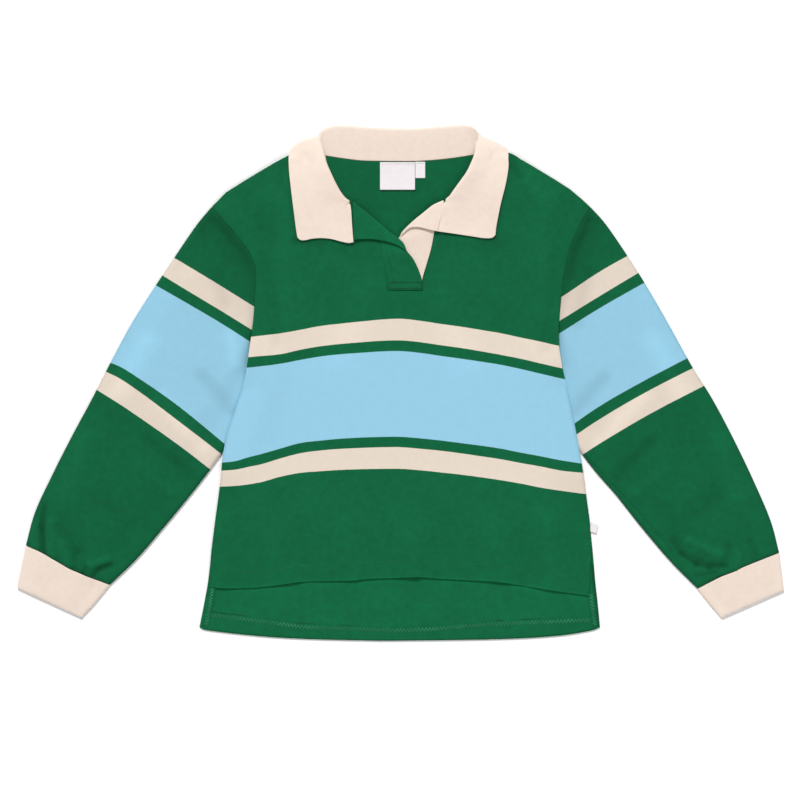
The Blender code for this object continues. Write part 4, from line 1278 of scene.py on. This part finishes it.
# Painted shade on the collar band's two ends, beside the leaves' folds.
band_end_shade = 0 * points[:, 0]
for turn, fold_line in (
    (1, [(227, -75.8), (237.3, -80.0), (247.7, -83.3), (258, -84.7)]),
    (-1, [(227, 71.7), (237.3, 77.1), (247.7, 80.2), (258, 81.5)]),
):
    ys, xs = zip(*fold_line)
    inwards = turn * (points[:, 0] - np.interp(points[:, 1], ys, xs))
    near = smooth(-0.6, 0.6, inwards) * np.exp(-((np.maximum(inwards, 0) / 5.0) ** 2))
    band_end_shade = band_end_shade + 0.10 * near * smooth(226, 238, points[:, 1])
collar = add_piece(
    "collar_piece", points, faces, m_collar, 1.3, metric_uv(collar_grid, True), ["collar"], 1 - band_end_shade
)
over_grid = denser(strip_rows(PLACKET_OVER, 44, 0.9, 3.0), 9)
points, faces = loft_mesh(over_grid)
over = add_piece("placket_over_piece", points, faces, m_strip, 1.2, metric_uv(over_grid), ["placket_over"])
under_grid = denser(strip_rows(PLACKET_UNDER, 44, -0.6, 0.0), 8)
points, faces = loft_mesh(under_grid)
# Painted shade on the under strip: darker where it lies low, lighter towards its top.
shade = 0.94 + 0.05 * smooth(150, 172, points[:, 1])
under = add_piece(
    "placket_under_piece", points, faces, m_collar, 1.2, metric_uv(under_grid), ["placket_under"], shade
)


# Labels
def label_rows(cx, cy, width, deep, turn, height, nx, ny, curl):
    c, s = math.cos(math.radians(turn)), math.sin(math.radians(turn))
    rows = []
    for v in np.linspace(0.5, -0.5, ny):
        row = []
        for u in np.linspace(-0.5, 0.5, nx):
            x, y = cx + c * u * width - s * v * deep, cy + s * u * width + c * v * deep
            lift = curl * ((0.5 - v) ** 2 * 0.9 + (2 * u) ** 4 * 0.3 * (0.5 - v))
            row.append((x, y, float(height(x, y)) + lift))
        rows.append(row)
    return rows


def on_back(x, y):
    return back_z(x, y) + 1.1


for name, spec, height, curl, node in (
    ("neck_label_piece", NECK_LABEL, on_back, 0.9, "neck_label"),
    ("size_label_piece", SIZE_LABEL, on_back, 0.5, "size_label"),
    ("side_tab_piece", SIDE_TAB, lambda x, y: 1.1, 0.5, "side_tab"),
):
    rows = label_rows(*spec, height, 22, 18, curl)
    points, faces = loft_mesh(rows)
    add_piece(name, points, faces, m_label, 0.45, metric_uv(rows), [node])

# ---------------------------------------------------------------- stitching



def ribbon(name, inner, outer, height, material, up=0.85, thickness=0.5):
    """A turned-in edge: a second layer between two lines on the cloth."""
    count = 220
    inner, outer = spline(inner, count=count), spline(outer, count=count)
    rows = []
    for t in np.linspace(0, 1, 9):
        flat = inner + t * (outer - inner)
        rows.append(np.column_stack([flat, height(flat[:, 0], flat[:, 1]) + up]))
    points, faces = loft_mesh(rows)
    return add_piece(name, points, faces, material, thickness, points[:, :2])


back_line = [
    (-197, -240.0), (-163, -244.2), (-121, -249.4), (-94, -252.5), (-38, -254.6), (0, -255.6),
    (43, -253.6), (73, -251.0), (116, -248.4), (145, -247.3), (189, -245.2), (197.6, -244.9),
]
ribbon("back_hem_turn_up", [(x, y + 1.6) for x, y in back_line],
       [(-206.4, -253.6)] + [(x, y - 0.2) for x, y in BACK_HEM[1:-1]] + [(205.0, -253.4)], back_z, m_plain)
hem_thread = [(x, y - 1.9) for x, y in back_line]
stitches("stitch_back_hem", [on_surface(hem_thread, back_z, 1.18)], t_green, 1.9, 1.9, 0.42, 2.0)
# Short dashes of dark thread along the turn-up's upper edge paint the shadow in the groove there.
hem_shadow_line = spline([(x, y + 1.9) for x, y in back_line], step=2.0)
parts = [
    [p for p in hem_shadow_line if start < p[0] < end]
    for start, end in ((-197, -160), (-108, -88), (-62, -50), (98, 108), (124, 146))
]
stitches("painted_shadow_back_hem_edge", [on_surface(part, back_z, 0.88) for part in parts], t_dark, 2.6, 2.5, 0.28)
slit_left = [(-192.4, -211.0), (-194.0, -222.0), (-196.6, -238.0), (-199.4, -252.4)]
slit_right = [(195.2, -219.0), (196.2, -230.0), (197.6, -241.0), (199.4, -253.0)]
ribbon("slit_facing_left", slit_left, [(-199.8, -211.0), (-201.6, -222.0), (-203.8, -238.0), (-206.0, -252.2)],
       back_z, m_plain, 1.3, 0.45)
ribbon("slit_facing_right", slit_right, [(201.5, -219.0), (202.5, -230.0), (203.4, -241.0), (204.4, -252.6)],
       back_z, m_plain, 1.3, 0.45)
slits = [on_surface([(x + move, y) for x, y in line], back_z, 1.56) for line, move in ((slit_left, -3.0), (slit_right, 3.2))]
stitches("stitch_slits", slits, t_green, 1.6, 1.8, 0.42, 1.9)
hem_line = [(x, y + 17.0) for x, y in FRONT_HEM[1:-1]]
stitches("stitch_front_hem", [on_surface(hem_line, front_z, 0.62)], t_plain, 3.0, 2.1, 0.2)


def on_strip(grid, column_share, first=0.0, last=1.0, up=0.7):
    """A line that follows a strip or the collar at a share of its width."""
    grid = np.array(grid)
    rows = range(int(first * (len(grid) - 1)), int(last * (len(grid) - 1)) + 1)
    k = column_share * (grid.shape[1] - 1)
    a, t = int(k), k - int(k)
    b = min(a + 1, grid.shape[1] - 1)
    line = np.array([grid[j, a] * (1 - t) + grid[j, b] * t for j in rows])
    line[:, 2] += up
    return line


box_top = [(-12.5, 104.6), (5, 104.6), (21.4, 104.6)]
box_foot = [(-12.5, 98.6), (5, 98.6), (21.6, 98.6)]


def over_z(x, y):
    run = np.asarray(x, float) + 14.1
    return float(front_z(-14.1, 97.0)) + 0.9 * smooth(-0.1, 3.0, run) + 0.0 * np.asarray(y)


box = [
    on_surface(box_top, over_z, 0.68),
    on_surface(box_foot, over_z, 0.68),
    on_surface([(-12.5, 98.6), (-12.4, 101), (-12.6, 104.6)], over_z, 0.68),
    on_surface([(21.6, 98.6), (21.5, 101), (21.4, 104.6)], over_z, 0.68),
]
stitches("stitch_placket_box", box, t_dark, 2.3, 2.0, 0.36)
edge_lines = [on_strip(over_grid, 0.955, 0.0, 0.36), on_strip(over_grid, 0.06, 0.08, 0.62)]
stitches("stitch_placket_edge", edge_lines, t_dark, 2.8, 2.1, 0.2)
label_ends = []
for x0, x1, y in ((-20.2, 13.9, 228.9), (16.6, 24.6, 229.6)):
    label_ends.append(on_surface([(x0, y), ((x0 + x1) / 2, y), (x1, y)], back_z, 2.1))
stitches("stitch_labels", label_ends, t_white, 2.4, 1.8, 0.2)

# ---------------------------------------------------------------- stage

bpy.ops.mesh.primitive_plane_add(size=8.0, location=(0, 0, -0.0002))
floor = bpy.context.active_object
floor.name = "floor"
paper = bpy.data.materials.new("paper")
paper.use_nodes = True
shader = paper.node_tree.nodes["Principled BSDF"]
shader.inputs["Base Color"].default_value = (0.98, 0.98, 0.98, 1)
shader.inputs["Roughness"].default_value = 0.9
shader.inputs["Specular IOR Level"].default_value = 0.1
floor.data.materials.append(paper)

scene = bpy.context.scene
world = bpy.data.worlds.new("studio")
scene.world = world
world.use_nodes = True
world.node_tree.nodes["Background"].inputs[0].default_value = (1.0, 1.0, 1.0, 1)
world.node_tree.nodes["Background"].inputs[1].default_value = WORLD


def area_light(name, place, aim, size, power, colour=(1, 1, 1)):
    light = bpy.data.lights.new(name, "AREA")
    light.shape = "DISK"
    light.size = size
    light.energy = power
    light.color = colour
    obj = bpy.data.objects.new(name, light)
    obj.location = place
    obj.rotation_euler = (Vector(aim) - Vector(place)).to_track_quat("-Z", "Y").to_euler()
    scene.collection.objects.link(obj)
    return obj


key = area_light("key", (-1.5, 6.6, 5.7), (0, 0, 0), 2.4, KEY)
fill = area_light("fill", (0.7, -1.9, 2.2), (0, -0.1, 0), 1.6, FILL)

camera = bpy.data.objects.new("camera", bpy.data.cameras.new("camera"))
camera.data.lens = 100
camera.data.sensor_width = 36
camera.data.clip_end = 50
camera.location = (-0.0005, -0.0175, 0.832 * 100 / 36 + 0.005)
camera.rotation_euler = (0, 0, 0)
scene.collection.objects.link(camera)
scene.camera = camera
scene.view_settings.view_transform = "Standard"
scene.view_settings.look = "None"
